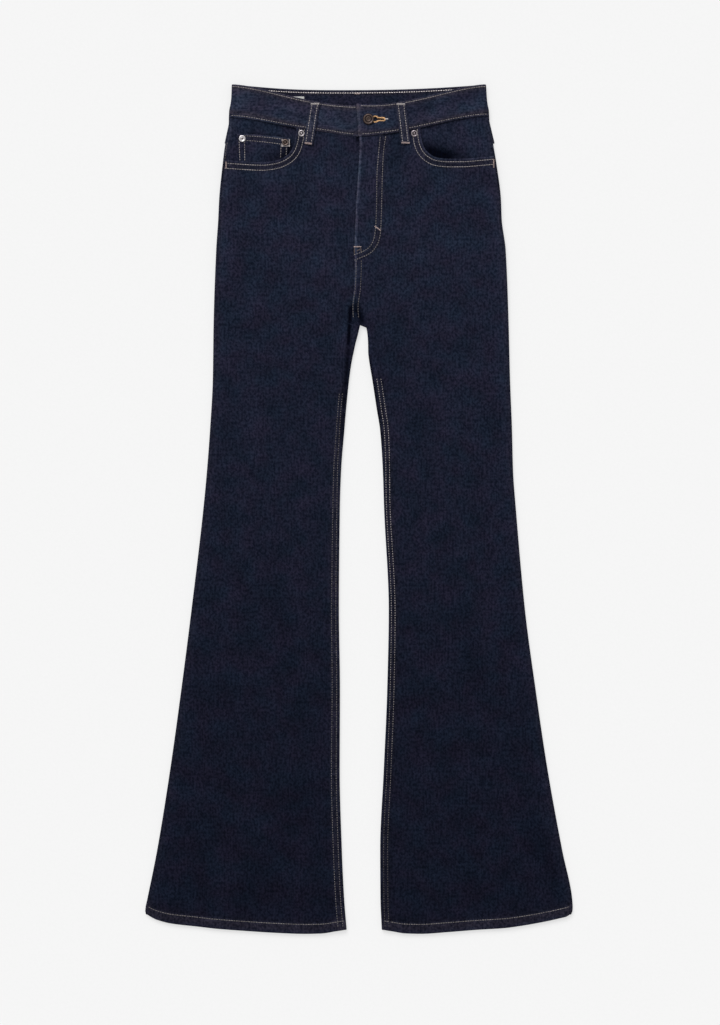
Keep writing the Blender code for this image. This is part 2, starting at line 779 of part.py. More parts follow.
def band_piece(name, outer_side, inner_x, waist, level, up, rise, collection):
    """Part of the waistband from a side seam to inner_x, or to the other side seam when None."""
    across = np.linspace(0, 1, 15)
    down = np.linspace(0, 1, 4)
    sign = sign_of(outer_side)
    y = WAIST_TOP - band_height(sign * WAIST_HALF) * down
    outer = border(side_edge(outer_side, y), -sign, 1, BAND_BEND)
    inner = None
    start = flat_edge(outer)
    if inner_x is None:
        other = "right" if outer_side == "left" else "left"
        y = WAIST_TOP - band_height(-sign * WAIST_HALF) * down
        inner = border(side_edge(other, y), sign, 1, BAND_BEND)
        end = flat_edge(inner)
    else:
        end_x = inner_x + BAND_END_SLANT * BAND_HEIGHT * down
        end_y = waist(end_x) + rise * (1 - down) - band_height(inner_x) * down
        end = np.column_stack([end_x, end_y])
    top_x = start[0, 0] + (end[0, 0] - start[0, 0]) * across
    top = np.column_stack([top_x, waist(top_x) + rise * across**TAB_RISE_POWER])
    foot_x = start[-1, 0] + (end[-1, 0] - start[-1, 0]) * across
    bottom = np.column_stack([foot_x, waist(foot_x) - band_height(foot_x)])
    flat = patch(top, bottom, start, end, across, down)
    points, away = sheet(flat, level, up, outer, inner, lambda y: BAND_SEAM_LEVEL)
    return wall(name, points, away, BAND_CLOTH, collection)


def waistband(collection):
    band_piece("waistband_back", "left", None, back_waist, underside, -1, 0, collection)
    band_piece("waistband_right", "right", BAND_UNDERLAP_END, front_waist, band_level, 1, 0, collection)
    return band_piece("waistband_left", "left", TAB_END, front_waist, left_band_level, 1, TAB_RISE,
                      collection)


def add_cutter(name, cutters):
    made = bpy.context.object
    made.name = name
    for holder in made.users_collection:
        holder.objects.unlink(made)
    cutters.objects.link(made)
    made.hide_render = True
    made.display_type = "WIRE"
    return made


def cut_buttonhole(tab, cutters):
    """A keyhole slit through the tab, spread where the button's shank passes."""
    x, y = BUTTON_PLACE
    z = left_band_level(np.array(x), np.array(y)) * MM
    depth = CUT_DEPTH * MM
    for name, place, radius in (("shank_hole", x, SHANK_RADIUS + 0.4), ("eye", EYE_X, EYE_RADIUS)):
        bpy.ops.mesh.primitive_cylinder_add(vertices=16, radius=radius * MM, depth=depth,
                                            location=(place * MM, y * MM, z))
        cut_with(tab, add_cutter(name, cutters))
    bpy.ops.mesh.primitive_cube_add(size=1, location=((x + SLIT_END) / 2 * MM, y * MM, z))
    slit = add_cutter("slit", cutters)
    slit.scale = ((SLIT_END - x) * MM, SLIT_WIDTH * MM, depth)
    cut_with(tab, slit)


def cut_with(target, cutter):
    cut = target.modifiers.new(cutter.name, "BOOLEAN")
    cut.operation = "DIFFERENCE"
    cut.object = cutter


def front_loop(loop, collection):
    """A strap from the waistband's top edge down to the panel below it, slightly bowed between."""
    on_left = loop.top.x > 0
    panel = left_front_level if on_left else front_level
    band = left_band_level if on_left else band_level
    down = np.linspace(0, 1, 9)
    middle = np.array(loop.top) + (np.array(loop.foot) - np.array(loop.top)) * down[:, None]
    across = np.linspace(-0.5, 0.5, 3) * LOOP_WIDTH
    x = middle[:, None, 0] + across[None]
    y = middle[:, None, 1] + 0 * across[None]
    off_band = 1 - ease(-8, 2, y - front_band_seam(x))
    below = band(x, y) + off_band * (panel(x, y) - band(x, y))
    z = below + LOOP_SEAT + CLOTH + LOOP_BOW * np.sin(math.pi * down[:, None])
    points = np.stack([x, y, z], axis=-1)
    away = np.zeros_like(points)
    away[..., 2] = 1
    wall(loop.name, points, away, CLOTH, collection)


def back_loop(loop, collection):
    """A strap pressed flat under the back waistband."""
    down = np.linspace(0, 1, 5)
    middle = np.array(loop.top) + (np.array(loop.foot) - np.array(loop.top)) * down[:, None]
    across = np.linspace(-0.5, 0.5, 2) * LOOP_WIDTH
    points = np.stack([middle[:, None, 0] + across[None], middle[:, None, 1] + 0 * across[None],
                       np.zeros((5, 2))], axis=-1)
    away = np.zeros_like(points)
    away[..., 2] = -1
    wall(loop.name, points, away, CLOTH, collection)


def button(collection):
    """A shank button: a shallow domed head on a post that stands on the band under the tab."""
    x, y = BUTTON_PLACE
    tab = float(left_band_level(np.array(x), np.array(y)))
    post_foot = float(band_level(np.array(x), np.array(y))) + SEAM_GAP
    head = tab + SEAM_GAP
    profile = [(0, head + 2.5), (3.4, head + 2.4), (4.2, head + 2.9), (6.2, head + 2.7),
               (BUTTON_RADIUS, head + 1.4), (BUTTON_RADIUS - 0.5, head + 0.3), (5.5, head),
               (SHANK_RADIUS, head), (SHANK_RADIUS, post_foot), (0, post_foot)]
    turned("button", profile, BUTTON_PLACE, 0, collection, "bronze", 32)


def rivet(name, place, level, collection):
    """A rivet head: a flat flange, a raised ring and a small nub in its middle."""
    foot = float(level(np.array(place.x), np.array(place.y))) + RIVET_SEAT
    profile = [(0, 1.3), (1.1, 1.25), (1.5, 0.8), (2.4, 0.8), (3.1, 1.35), (4.0, 1.2),
               (RIVET_RADIUS, 0.5), (RIVET_RADIUS, 0.0), (0, 0.0)]
    turned(name, profile, place, foot, collection, "nickel", 16)


def label(collection):
    """A blank tape sewn to the inside of the back waistband."""
    (left_x, high_y), (right_x, low_y) = LABEL_CORNERS
    grid_x, grid_y = np.meshgrid([left_x, right_x], [high_y, low_y])
    z = np.full_like(grid_x, SEAT_LIFT + BAND_CLOTH + SEAM_GAP + LABEL_CLOTH)
    points = np.stack([grid_x, grid_y, z], axis=-1)
    away = np.zeros_like(points)
    away[..., 2] = 1
    wall("label", points, away, LABEL_CLOTH, collection, "white_tape")


def clear_scene():
    for old in list(bpy.data.objects):
        bpy.data.objects.remove(old, do_unlink=True)


def new_collection(name):
    made = bpy.data.collections.new(name)
    bpy.context.scene.collection.children.link(made)
    return made


def main():
    clear_scene()
    jeans = new_collection("flared_jeans")
    cutters = new_collection("cutters")
    for side in ("right", "left"):
        front_panel(side, jeans)
        back_panel(side, jeans)
        yoke(side, jeans)
        back_pocket(side, jeans)
        pocket_facing(side, jeans)
    coin_pocket(jeans)
    tab = waistband(jeans)
    cut_buttonhole(tab, cutters)
    for loop in FRONT_LOOPS:
        front_loop(loop, jeans)
    for loop in BACK_LOOPS:
        back_loop(loop, jeans)
    button(jeans)
    for name, place in RIVETS.items():
        rivet(name, place, facing_level if "coin" in name else front_level, jeans)
    label(jeans)


main()
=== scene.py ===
"""Flared five-pocket jeans laid flat on their back: the cloth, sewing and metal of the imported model.

Frame: +X towards the wearer's left, +Y from the hems to the waist, +Z up from the surface that the
jeans lie on. Tables and sizes are in millimetres, and MM turns them into metres where a mesh is made.

Every cloth piece is a closed shell: a fine grid on its outer face, the same grid set one cloth
thickness inward, and a half-round rim between them. The level of each outer face is a function of
(x, y), which the stitches on that face follow too.
"""

import math
from collections import namedtuple
from functools import partial

import bpy
import numpy as np
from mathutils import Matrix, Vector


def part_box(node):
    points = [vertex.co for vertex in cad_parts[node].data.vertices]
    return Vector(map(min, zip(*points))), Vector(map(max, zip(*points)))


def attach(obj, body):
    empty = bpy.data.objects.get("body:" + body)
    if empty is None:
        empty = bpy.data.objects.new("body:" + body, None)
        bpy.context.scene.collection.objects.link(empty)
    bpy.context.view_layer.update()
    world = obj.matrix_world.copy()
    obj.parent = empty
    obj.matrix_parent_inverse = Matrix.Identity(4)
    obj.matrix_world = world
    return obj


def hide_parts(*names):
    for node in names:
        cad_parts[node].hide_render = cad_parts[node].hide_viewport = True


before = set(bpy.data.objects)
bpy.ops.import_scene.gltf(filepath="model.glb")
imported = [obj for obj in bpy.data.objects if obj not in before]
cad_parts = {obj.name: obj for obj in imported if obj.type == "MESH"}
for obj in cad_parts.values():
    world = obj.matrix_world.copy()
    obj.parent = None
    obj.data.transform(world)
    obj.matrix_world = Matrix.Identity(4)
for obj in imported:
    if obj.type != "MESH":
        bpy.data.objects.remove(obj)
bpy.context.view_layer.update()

MM = 0.001
SIGN = {"right": -1, "left": 1}


def table(columns, *rows):
    """Rows with named columns; a table that is read as a curve has its place in the first one."""
    row_type = namedtuple("Row", columns)
    return tuple(row_type(*row) for row in rows)


# Cloth
CLOTH = 1.2
BAND_CLOTH = 1.8
LABEL_CLOTH = 0.8
SEAM_GAP = 0.3
BAND_SEAM_GAP = 0.5
LAYER_GAP = 0.5
HEM_FOLD = 0.7
HEM_DEPTH = 14.0
RIM_ANGLES = np.radians([50.0, 0.0, -50.0])
RIM_ROUND = 0.8
RIM_WEAR = 0.3
EDGE_ROUND = 0.7

# The garment
WAIST_TOP = 569.0
WAIST_HALF = 171.0
BAND_HEIGHT = 40.0
BAND_TUCK = 5.0
TUCK_DEPTH = 1.5
TUCK_FROM = (-2.0, 1.4)
FRONT_DIP = 28.0
FRONT_DIP_POWER = 1.75
BACK_DIP = 7.6
BACK_SAG = 1.2
BACK_SAG_AT = (-92.0, 62.0)
CROTCH = (1.3, 247.5)
HEM_CORNER = -543.0
CENTRE_GAP_RUNS_OUT = 12.0
INSEAM_TURN_LENGTH = 34.0
PANEL_BEND = 2.4
BAND_BEND = 2.8

# The fly and the tab of the waistband, which lap the wearer's left side over the right one
FLY_END = 353.0
FLY_UNDERLAP = 16.0
FLY_UNDERLAP_RUNS_OUT = 12.0
FLY_LIFT = CLOTH + LAYER_GAP
FLY_LAP_FADE = (21.0, 48.0)
FLY_LAP_START = (293.0, 339.0)
FLY_SWELLS_FROM = (334.0, 340.0)
FLY_GROOVES_FROM = (352.0, 362.0)
FLY_PUCKERS_FROM = (345.0, 375.0)
FLY_PUCKERS_PAST_CENTRE = (2.0, 9.0)
FLY_PUCKERS_END = (20.0, 24.0)
CROTCH_RIDGE = 0.5
CROTCH_RIDGE_SPAN = (262.0, 280.0, 326.0, 336.0)
TAB_END = -3.0
TAB_RISE = 2.8
TAB_RISE_POWER = 8
TAB_LAP_FADE = (36.0, 84.0)
BAND_UNDERLAP_END = 29.0
BAND_END_SLANT = 0.07

# The seat lies on its patch pockets and belt loops, which lie on the surface below
SEAT_LIFT = CLOTH + SEAM_GAP
SEAT_RISE = (200.0, 285.0)
LEG_SEAM_LEVEL = 2.2
SEAT_SEAM_LEVEL = 3.5
BAND_SEAM_LEVEL = 3.9
BAND_LEVEL = 8.2
BAND_SIDE_FALL = 1.2
BAND_SIDE_FALL_FROM = 100.0

# The yoke and the patch pockets of the back
YOKE_AT_SIDE = 38.0
YOKE_AT_CENTRE = 72.0
YOKE_RAISED = 0.35
YOKE_LAPPED = 0.45
YOKE_LAP_RUNS_OUT = (9.0, 11.5)
YOKE_TUCK = 0.9
PATCH_WIDTH = 138.0
PATCH_FOOT_WIDTH = 122.0
PATCH_SIDE_HEIGHT = 128.0
PATCH_HEIGHT = 150.0
PATCH_CENTRE = (92.0, 364.0)
PATCH_TILT = math.radians(4.0)

# Front pockets: each one gapes about a place at x from the centre, where its edge is lifted, its
# facing sunk, and shade paints a shadow into its mouth
GAPES = {row.side: row for row in table(
    "side x reach lift sink shade",
    ("right", 100.0, 24.0, 1.0, 0.5, 1.45),
    ("left", 106.0, 34.0, 1.5, 1.9, 1.95),
)}
EDGE_LIFT = 0.25
EDGE_LIFT_SPREAD = 26.0
MOUTH_FADE = (480.0, 506.0)
POCKET_CURVE = (88.0, 132.0)
FACING_UNDER = (12.0, -15.0)
FACING_UNDER_FROM = (0.02, 0.16)
COIN_BOW = 1.2
COIN_SINK = CLOTH + SEAM_GAP
COIN_SINK_STARTS = (4.0, 11.0)
COIN_SINK_ENDS = (506.0, 520.0)

# Belt loops
LOOP_WIDTH = 12.0
LOOP_BOW = 1.2
LOOP_SEAT = 0.35
LOOP_RIB = 0.35

# The buttonhole, with its eye towards the wearer's left, and the slot from it to the button's post
BUTTON_PLACE = (12.7, 522.6)
POST_REACH = 2.4
EYE_X = 21.8
EYE_RADIUS = 2.7
SLIT_END = 33.0
SLIT_WIDTH = 1.4
CUT_DEPTH = 8.0

# x of the side seams, right and left leg, from the waist to the hem
SIDE_SEAMS = table(
    "y right left",
    (569.0, -170.6, 170.4), (551.0, -171.3, 171.5), (543.0, -172.4, 172.5), (535.0, -174.0, 174.1),
    (526.0, -174.5, 174.6), (514.0, -174.7, 175.3), (506.0, -175.8, 176.5), (498.0, -177.4, 178.6),
    (487.0, -179.8, 180.4), (463.0, -182.8, 184.4), (414.7, -187.6, 190.4), (390.0, -188.7, 191.3),
    (347.7, -191.5, 196.7), (247.5, -195.0, 200.7), (173.5, -196.1, 202.6), (106.5, -199.8, 205.2),
    (52.0, -203.9, 206.6), (-0.7, -208.9, 210.5), (-134.7, -224.7, 222.6), (-241.9, -238.4, 236.9),
    (-349.1, -253.3, 252.9), (-456.3, -270.6, 272.4), (-523.3, -284.1, 286.0), (-534.0, -286.3, 286.6),
    (-538.5, -286.6, 286.2), (-543.0, -285.7, 284.4),
)

# x of the inseams, right and left leg, from the crotch to the hem
INSEAMS = table(
    "y right left",
    (247.5, 1.3, 1.3), (246.5, 1.0, 7.0), (245.5, 0.7, 9.3), (240.0, -0.6, 11.0), (232.0, -2.4, 11.9),
    (219.1, -5.4, 12.2), (211.0, -7.1, 12.3), (200.0, -9.5, 13.5), (173.5, -13.3, 17.9),
    (132.7, -17.4, 24.1), (106.5, -19.6, 28.3), (53.0, -23.9, 31.9), (-0.7, -25.7, 33.7),
    (-134.7, -26.9, 39.9), (-241.9, -25.5, 37.8), (-349.1, -25.9, 33.2), (-456.3, -23.0, 28.4),
    (-523.3, -19.8, 28.8), (-563.5, -16.5, 30.5),
)

# The centre front from the tab down the fly and the crotch seam, and the centre back
CENTRE_FRONT = table(
    "y x",
    (545.0, -2.0), (500.0, 1.2), (415.0, -3.0), (374.0, -5.1), (353.0, -5.6), (326.0, -5.3), (305.0, -6.0),
    (294.0, -6.7), (283.0, -8.4), (272.0, -9.7), (257.0, -9.0), (251.0, -5.0), (247.5, 1.3),
)
CENTRE_BACK = table("y x", (545.0, -0.5), (400.0, 0.0), (247.5, 1.3))

# The two curved lines of stitches beside the fly, from the waistband down to the crotch seam
FLY_LINES = (
    table("y x", (499.4, 28.5), (475.0, 26.1), (448.2, 24.1), (408.0, 23.5), (381.2, 22.5), (366.5, 20.9),
          (353.1, 15.5), (345.7, 5.4), (340.9, -7.2)),
    table("y x", (500.4, 35.9), (481.7, 33.1), (454.9, 31.5), (394.6, 29.9), (371.9, 28.9), (361.1, 26.9),
          (349.1, 20.9), (341.4, 11.9), (337.0, 1.3), (333.7, -6.6)),
)

# How far below the side seam's end each share of the hem hangs, towards the inseam
HEM_CURVE = table(
    "share right left",
    (0.0, 0.0, 0.0), (0.02, 3.4, 3.0), (0.05, 7.2, 4.8), (0.12, 12.0, 8.8), (0.25, 16.0, 14.7),
    (0.35, 19.0, 18.1), (0.5, 22.0, 20.5), (0.65, 24.5, 23.4), (0.8, 25.9, 25.8), (0.88, 25.4, 25.3),
    (0.95, 22.6, 22.6), (1.0, 20.5, 20.5),
)

# Height of the waistband, from the right side seam round the front to the left one
BAND_HEIGHTS = table(
    "x height",
    (-171.0, 43.0), (-145.0, 42.4), (-115.0, 41.2), (-85.0, 39.5), (-54.0, 37.6), (-40.0, 37.5),
    (-25.0, 38.5), (0.0, 40.0), (22.0, 39.1), (80.0, 38.8), (110.0, 39.3), (140.0, 40.4), (171.0, 41.0),
)

# The open edge of each front pocket, from the side seam round to the waistband
POCKET_EDGES = {
    "right": table("x y", (-182.3, 467.8), (-159.5, 466.2), (-130.0, 464.8), (-113.2, 466.7),
                   (-100.8, 471.3), (-92.5, 477.9), (-87.6, 487.0), (-84.8, 499.0), (-83.6, 512.0)),
    "left": table("x y", (183.0, 473.2), (162.0, 471.2), (139.4, 469.5), (119.3, 469.4), (103.2, 471.3),
                  (94.6, 475.9), (88.2, 482.6), (84.2, 492.5), (82.6, 503.0), (81.9, 511.5)),
}

# Ends of the coin pocket's top edge, and of its foot behind the right pocket's edge
COIN_TOP = table("x y", (-162.8, 503.0), (-92.8, 497.0))
COIN_FOOT = table("x y", (-161.0, 457.0), (-99.5, 457.0))

# Ends of each belt loop's middle line
LOOPS = {row.name: row for row in table(
    "name top_x top_y foot_x foot_y",
    ("front_right", -58.9, 544.8, -67.8, 489.6), ("front_left", 55.9, 544.3, 62.4, 489.8),
    ("side_right", -158.0, 563.0, -173.8, 490.0), ("side_left", 158.0, 563.0, 175.4, 490.0),
    ("back", 0.0, 558.0, 0.0, 503.0),
)}
FRONT_LOOPS = [LOOPS["front_right"], LOOPS["front_left"]]
BACK_LOOPS = [LOOPS["side_right"], LOOPS["side_left"], LOOPS["back"]]

# Level of the front's outer face along the garment
FRONT_HEIGHTS = table(
    "y level",
    (530.0, 7.2), (504.0, 7.5), (465.0, 7.8), (400.0, 7.4), (330.0, 6.6), (247.5, 5.6), (100.0, 4.7),
    (-100.0, 4.4), (-570.0, 4.3),
)

# How much paler than new the denim is painted along the garment, palest at the waist: partly its real
# fade and partly a painted fall of light from the waist end
FADES_AND_PAINTED_FALLOFF = table(
    "y share",
    (570.0, 0.98), (400.0, 0.93), (300.0, 0.78), (187.0, 0.60), (0.0, 0.49), (-121.0, 0.38),
    (-255.0, 0.23), (-389.0, 0.16), (-496.0, 0.09), (-570.0, 0.05),
)

# Folds: each is a bell along a line, up where its height is positive and paler where its tone is. The
# tone is painted shade in valleys and creases and painted light on crests, besides the whiskers' real fade
FOLD = "name x0 y0 x1 y1 width height tone"
FRONT_FOLDS = table(
    FOLD,
    ("crotch_hollow", -3.0, 268.0, 4.0, 254.0, 8.0, -1.3, -1.1),
    ("right_valley", -11.4, 270.0, -14.2, 222.0, 2.8, -0.9, -1.5),
    ("right_inseam", -14.2, 215.0, -24.0, 92.0, 3.2, -0.6, -0.95),
    ("left_inseam", 14.2, 205.0, 31.0, 88.0, 2.6, -0.5, -0.9),
    ("left_thigh", 8.0, 262.0, 34.0, 170.0, 9.0, -0.4, -0.25),
    ("left_knee", 112.0, -45.0, 172.0, -255.0, 17.0, -0.8, -0.1),
    ("right_shin", -76.0, -385.0, -152.0, -505.0, 24.0, -0.7, -0.1),
    ("left_shin", 62.0, -455.0, 132.0, -520.0, 22.0, -0.6, 0.06),
    ("right_knee", -120.0, -60.0, -100.0, -190.0, 20.0, -0.5, -0.1),
    ("right_crest", -14.2, 284.0, -21.5, 205.0, 2.8, 0.8, 0.3),
    ("left_crest", 5.0, 277.0, 27.0, 160.0, 3.6, 0.9, 0.4),
    ("left_knee_side", 132.0, -60.0, 190.0, -240.0, 12.0, 0.5, 0.1),
    ("left_hem_out", 222.0, -410.0, 269.0, -498.0, 14.0, -0.7, -0.12),
    ("left_hem_crest", 240.0, -400.0, 280.0, -470.0, 10.0, 0.4, 0.1),
    ("right_hem_crest", -120.0, -420.0, -185.0, -520.0, 14.0, 0.5, 0.1),
    ("right_thigh", -150.0, 190.0, -128.0, 70.0, 22.0, 0.5, 0.1),
    ("left_thigh_side", 158.0, 205.0, 132.0, 90.0, 24.0, 0.5, 0.1),
    ("right_hip", -165.0, 420.0, -60.0, 395.0, 16.0, -0.35, -0.1),
    ("left_hip", 60.0, 402.0, 170.0, 428.0, 15.0, -0.35, -0.1),
    ("left_whisker", 44.0, 335.0, 120.0, 352.0, 9.0, 0.3, 0.15),
    ("right_whisker", -24.0, 330.0, -105.0, 346.0, 10.0, 0.3, 0.15),
    ("below_left_loop", 60.0, 488.0, 48.0, 470.0, 9.0, -0.6, -0.3),
    ("below_tab", -2.2, 498.0, -2.2, 494.5, 2.2, -0.4, -1.3),
)
BAND_FOLDS = table(
    FOLD,
    ("left_stripe", 70.0, 534.0, 166.0, 557.0, 5.5, -0.75, -0.35),
    ("right_stripe", -150.0, 552.0, -76.0, 544.0, 5.0, -0.6, -0.3),
    ("beside_right_loop", -46.0, 536.0, -20.0, 526.0, 8.0, -0.4, -0.2),
    ("beside_left_loop", 74.0, 524.0, 96.0, 522.0, 7.0, 0.35, 0.15),
    ("right_low_crease", -160.0, 536.0, -98.0, 529.0, 2.6, -0.4, -0.55),
    ("right_middle_crease", -142.0, 545.0, -108.0, 537.0, 2.4, -0.35, -0.45),
    ("right_loop_crease", -104.0, 533.0, -72.0, 524.0, 3.0, -0.4, -0.45),
)
BACK_FOLDS = table(
    FOLD,
    ("right_seat", -60.0, 262.0, -170.0, 240.0, 13.0, 0.8, 0.1),
    ("left_seat", 66.0, 256.0, 182.0, 238.0, 12.0, 0.9, 0.1),
    ("right_thigh", -58.0, 205.0, -160.0, 172.0, 15.0, 0.6, 0.1),
    ("left_thigh", 72.0, 196.0, 150.0, 168.0, 14.0, 0.55, 0.1),
    ("right_knee", -70.0, 10.0, -170.0, -38.0, 16.0, 0.7, -0.1),
    ("left_knee", 74.0, 2.0, 160.0, -22.0, 15.0, 0.7, -0.1),
    ("right_knee_low", -92.0, -60.0, -185.0, -92.0, 18.0, 0.5, 0.1),
    ("left_knee_low", 88.0, -52.0, 178.0, -84.0, 17.0, 0.55, 0.1),
    ("right_calf", -110.0, -230.0, -175.0, -420.0, 26.0, 0.7, 0.1),
    ("left_calf", 120.0, -240.0, 186.0, -430.0, 24.0, 0.65, 0.1),
)

# Slow waves of cloth that lies loose, running across and down the garment
DRAPE = table("height length seed across down", (0.22, 74.0, 1.7, 1.0, 0.35), (0.16, 118.0, 0.4, -0.2, 1.0))

# Marks along edges and seams: a bell of this size, about a distance from the edge, with this spread.
# The dark marks below the waistband and above the coin pocket are painted shadow. The pale side seam mark
# is wear and painted sheen, and the pale marks on the front pocket's, coin pocket's, fly's and waistband's
# folded edges and on the tab's end are wear and painted highlights. The mouth mark places the pocket's sunk
# facing and its painted shadow.
MARKS = {row.name: row for row in table(
    "name size at width",
    ("side_seam_wear", 0.3, 4.0, 9.0), ("pocket_edge_wear", 0.6, 0.0, 1.6),
    ("below_band_wear", -0.6, -0.5, 2.6), ("fly_edge_wear", 2.8, 0.3, 2.1),
    ("facing_below_band_wear", -0.45, -1.0, 4.0), ("facing_seam_wear", 0.7, 2.8, 1.3),
    ("above_coin_wear", -0.8, 1.8, 2.4), ("coin_edge_wear", 1.1, 0.4, 1.3),
    ("band_top_wear", 0.5, 0.3, 1.4), ("band_foot_wear", 0.15, 0.0, 2.0),
    ("tab_end_wear", 2.9, 1.0, 2.3), ("mouth", 1.0, 4.0, 12.0), ("pocket_lift", 1.0, 0.0, 8.0),
    ("loop_groove", 0.2, 0.0, 0.9), ("loop_end", 0.25, 0.0, 0.06),
    ("hem_pucker", 1.0, 8.0, 8.0), ("inseam_pucker", 0.7, 7.0, 6.0), ("side_seam_pucker", 0.5, 2.0, 5.0),
    ("pocket_pucker", 0.7, 6.5, 5.0), ("fly_pucker", 0.6, -3.0, 5.0), ("yoke_pucker", 0.6, 5.0, 5.0),
    ("facing_pucker", 0.4, 3.0, 5.0), ("coin_pucker", 0.6, 5.0, 5.0), ("band_pucker", 1.0, 3.0, 4.0),
)}

# How much paler than the fade and its painted fall of light each of these is all over; COIN_SHADE is how
# dark the painted shadow of the pocket's mouth is on the coin pocket
HEM_WEAR = 0.85
FLY_WEAR = 0.12
FACING_WEAR = 0.15
COIN_WEAR = 0.2
COIN_SHADE = 1.2
BAND_WEAR = 0.45
RIGHT_BAND_WEAR = 0.3
LOOP_WEAR = 0.8
INSEAM_WEAR = {"right": 0.4, "left": 0.15}

# Sewing: one stitch, one tack, and how far each line of stitches runs from its own edge
STITCH_LENGTH = 2.8
CLOSE_STITCH = 3.5
SHORT_STITCH = 2.1
STITCH_PITCH = 3.3
THREAD_WIDTH = 0.95
THREAD_HEIGHT = 0.5
STITCH_SHIFT = 0.03
STITCH_SWAY = 0.012
STITCH_TONES = (0.78, 1.22)
STITCH_TONE_WAVE = 57.0
STITCH_TONE_DEPTH = 0.2
TACK_PITCH = 0.6
TACK_WIDTH = 2.2
TACK_LEAN = 0.35
TACK_VARIES = 0.12
HEM_LINE = 12.0
BAND_LINES = (2.3, 1.8)
INNER_BAND_LINE = 2.8
POCKET_LINES = table("level_part curve", (3.7, 4.0), (10.4, 10.5))
COIN_LINE = 2.1
COIN_LINES_APART = (5.8, 7.2)
CROTCH_LINES = (1.5, 8.4)
SIDE_LINE = 2.4
SEAT_LINES = (2.2, 8.8)
CENTRE_BACK_LINES = (1.6, 8.2)
PATCH_LINES = (2.0, 8.0)
PATCH_HEM_LINES = (6.0, 22.0)
LOOP_LINE = 3.7

# The inseam's two lines of stitches are wider apart at the hem and at the thigh, and show below a level
INSEAM_LINES = {
    "right": table("line hem thigh", (4.0, 0.8, 3.0), (9.4, 2.0, 1.6)),
    "left": table("line hem thigh", (3.2, 1.4, 3.0), (8.0, 2.0, 3.7)),
}
INSEAM_SHOWN = {"right": 156.0, "left": 176.0}

# Where lines of stitches start and end: x along the waist, y down the garment, shares round the hem
BAND_SPANS = {"right_top": (-169.5, -4.2), "right_foot": (-171.5, -7.1),
              "left_top": (169.5, 2.6), "left_foot": (171.5, 4.0),
              "back_top": (-168.0, 168.0), "back_foot": (-170.0, 170.0)}
POCKET_LINE_END = 180.5
CROTCH_SPAN = (334.0, 257.0)
SIDE_LINE_TOP = 492.0
SEAT_SPAN = (170, 2)
HEM_SPAN = (0.012, 0.988)
LOOP_SPAN = (0.05, 0.95)
COIN_DOWN_LINES = table("top foot rise", (-160.6, -159.6, 1.0), (-153.4, -153.0, 1.0), (-97.0, -97.8, 5.0),
                        (-104.3, -105.2, 5.0))
COIN_DOWN_FROM = 9.5

# Relief beside each kind of sewing: height of the folded layer, depth and width of the stitches'
# grooves, height of the puckers, length of their waves and how far they spread
RELIEFS = {row.name: row for row in table(
    "name raised groove width pucker wave spread",
    ("hem", HEM_FOLD, 0.3, 1.3, 0.3, 8.5, 8.0),
    ("inseam", 0.75, 0.25, 1.2, 0.2, 21.0, 4.5),
    ("fly", 0.45, 0.2, 1.2, 0.22, 13.0, 0.0),
    ("pocket", 0.45, 0.22, 1.1, 0.14, 9.0, 4.0),
    ("coin", 0.35, 0.2, 1.0, 0.1, 9.0, 3.0),
    ("band", 0.4, 0.25, 1.0, 0.1, 10.0, 3.5),
)}

# Tone of each group of stitches; each leg's runs out to a second tone at the hem
TONES = {"waistband": 0.82, "inner_band": 3.0, "pocket": 0.95, "coin": 0.78, "fly": 0.62, "crotch": 0.38,
         "hem": 0.6, "side": 0.4, "seat": 1.0, "front_loop": 1.25, "back_loop": 1.0}
LEG_TONES = {"right": (0.45, 0.6), "left": (1.15, 0.25)}

# Bartacks: from one end to the other, at the front loops' feet, on other faces and round a coin rivet
LOOP_TACK_DROP = 1.6
LOOP_TACKS = ((-72.4, 490.8, -63.7, 489.8), (57.2, 491.4, 67.6, 491.0))
TACKS = table(
    "group face x0 y0 x1 y1 width",
    ("rust", "front_left", 21.4, 379.2, 28.8, 373.9, TACK_WIDTH),
    ("rust", "front_left", -6.6, 351.9, 2.8, 351.9, 2.0),
    ("dark", "front_left", -6.0, 350.2, -6.2, 342.5, 1.4),
    ("dark", "front_left", -2.6, 346.4, 1.8, 348.8, 2.0),
    ("dark", "front_left", 2.6, 349.6, 3.0, 343.8, 1.4),
    ("rust", "front_right", -178.0, 465.6, -178.0, 457.6, TACK_WIDTH),
    ("rust", "front_left", 180.5, 469.0, 180.5, 458.0, TACK_WIDTH),
    ("rust", "inside_band", -6.0, 557.6, 0.6, 557.6, TACK_WIDTH),
)
PATCH_TACK = ((-0.95, 0.95), (0.015, 0.085))
COIN_TACKS = ((-102.9, 496.3, -102.9, 486.4), (-93.3, 496.0, -93.3, 486.4), (-103.6, 487.1, -92.6, 487.1))
TACK_GROUPS = table(
    "name thread tone width height",
    ("pale", "thread_cream", 1.4, 0.6, 0.65),
    ("dark", "thread_rust", 0.3, 0.55, 0.5),
    ("rust", "thread_rust", 1.0, 0.6, 0.65),
    ("coin", "thread_cream", 2.0, 0.6, 0.6),
)

# The buttonhole's threads: how far they reach inside and past its edge, and how close they are
HOLE_THREAD = (0.25, 2.4)
HOLE_THREAD_PITCH = 0.62
HOLE_THREAD_SIZE = (0.6, 0.75)
HOLE_TACK = (1.6, 5.6)

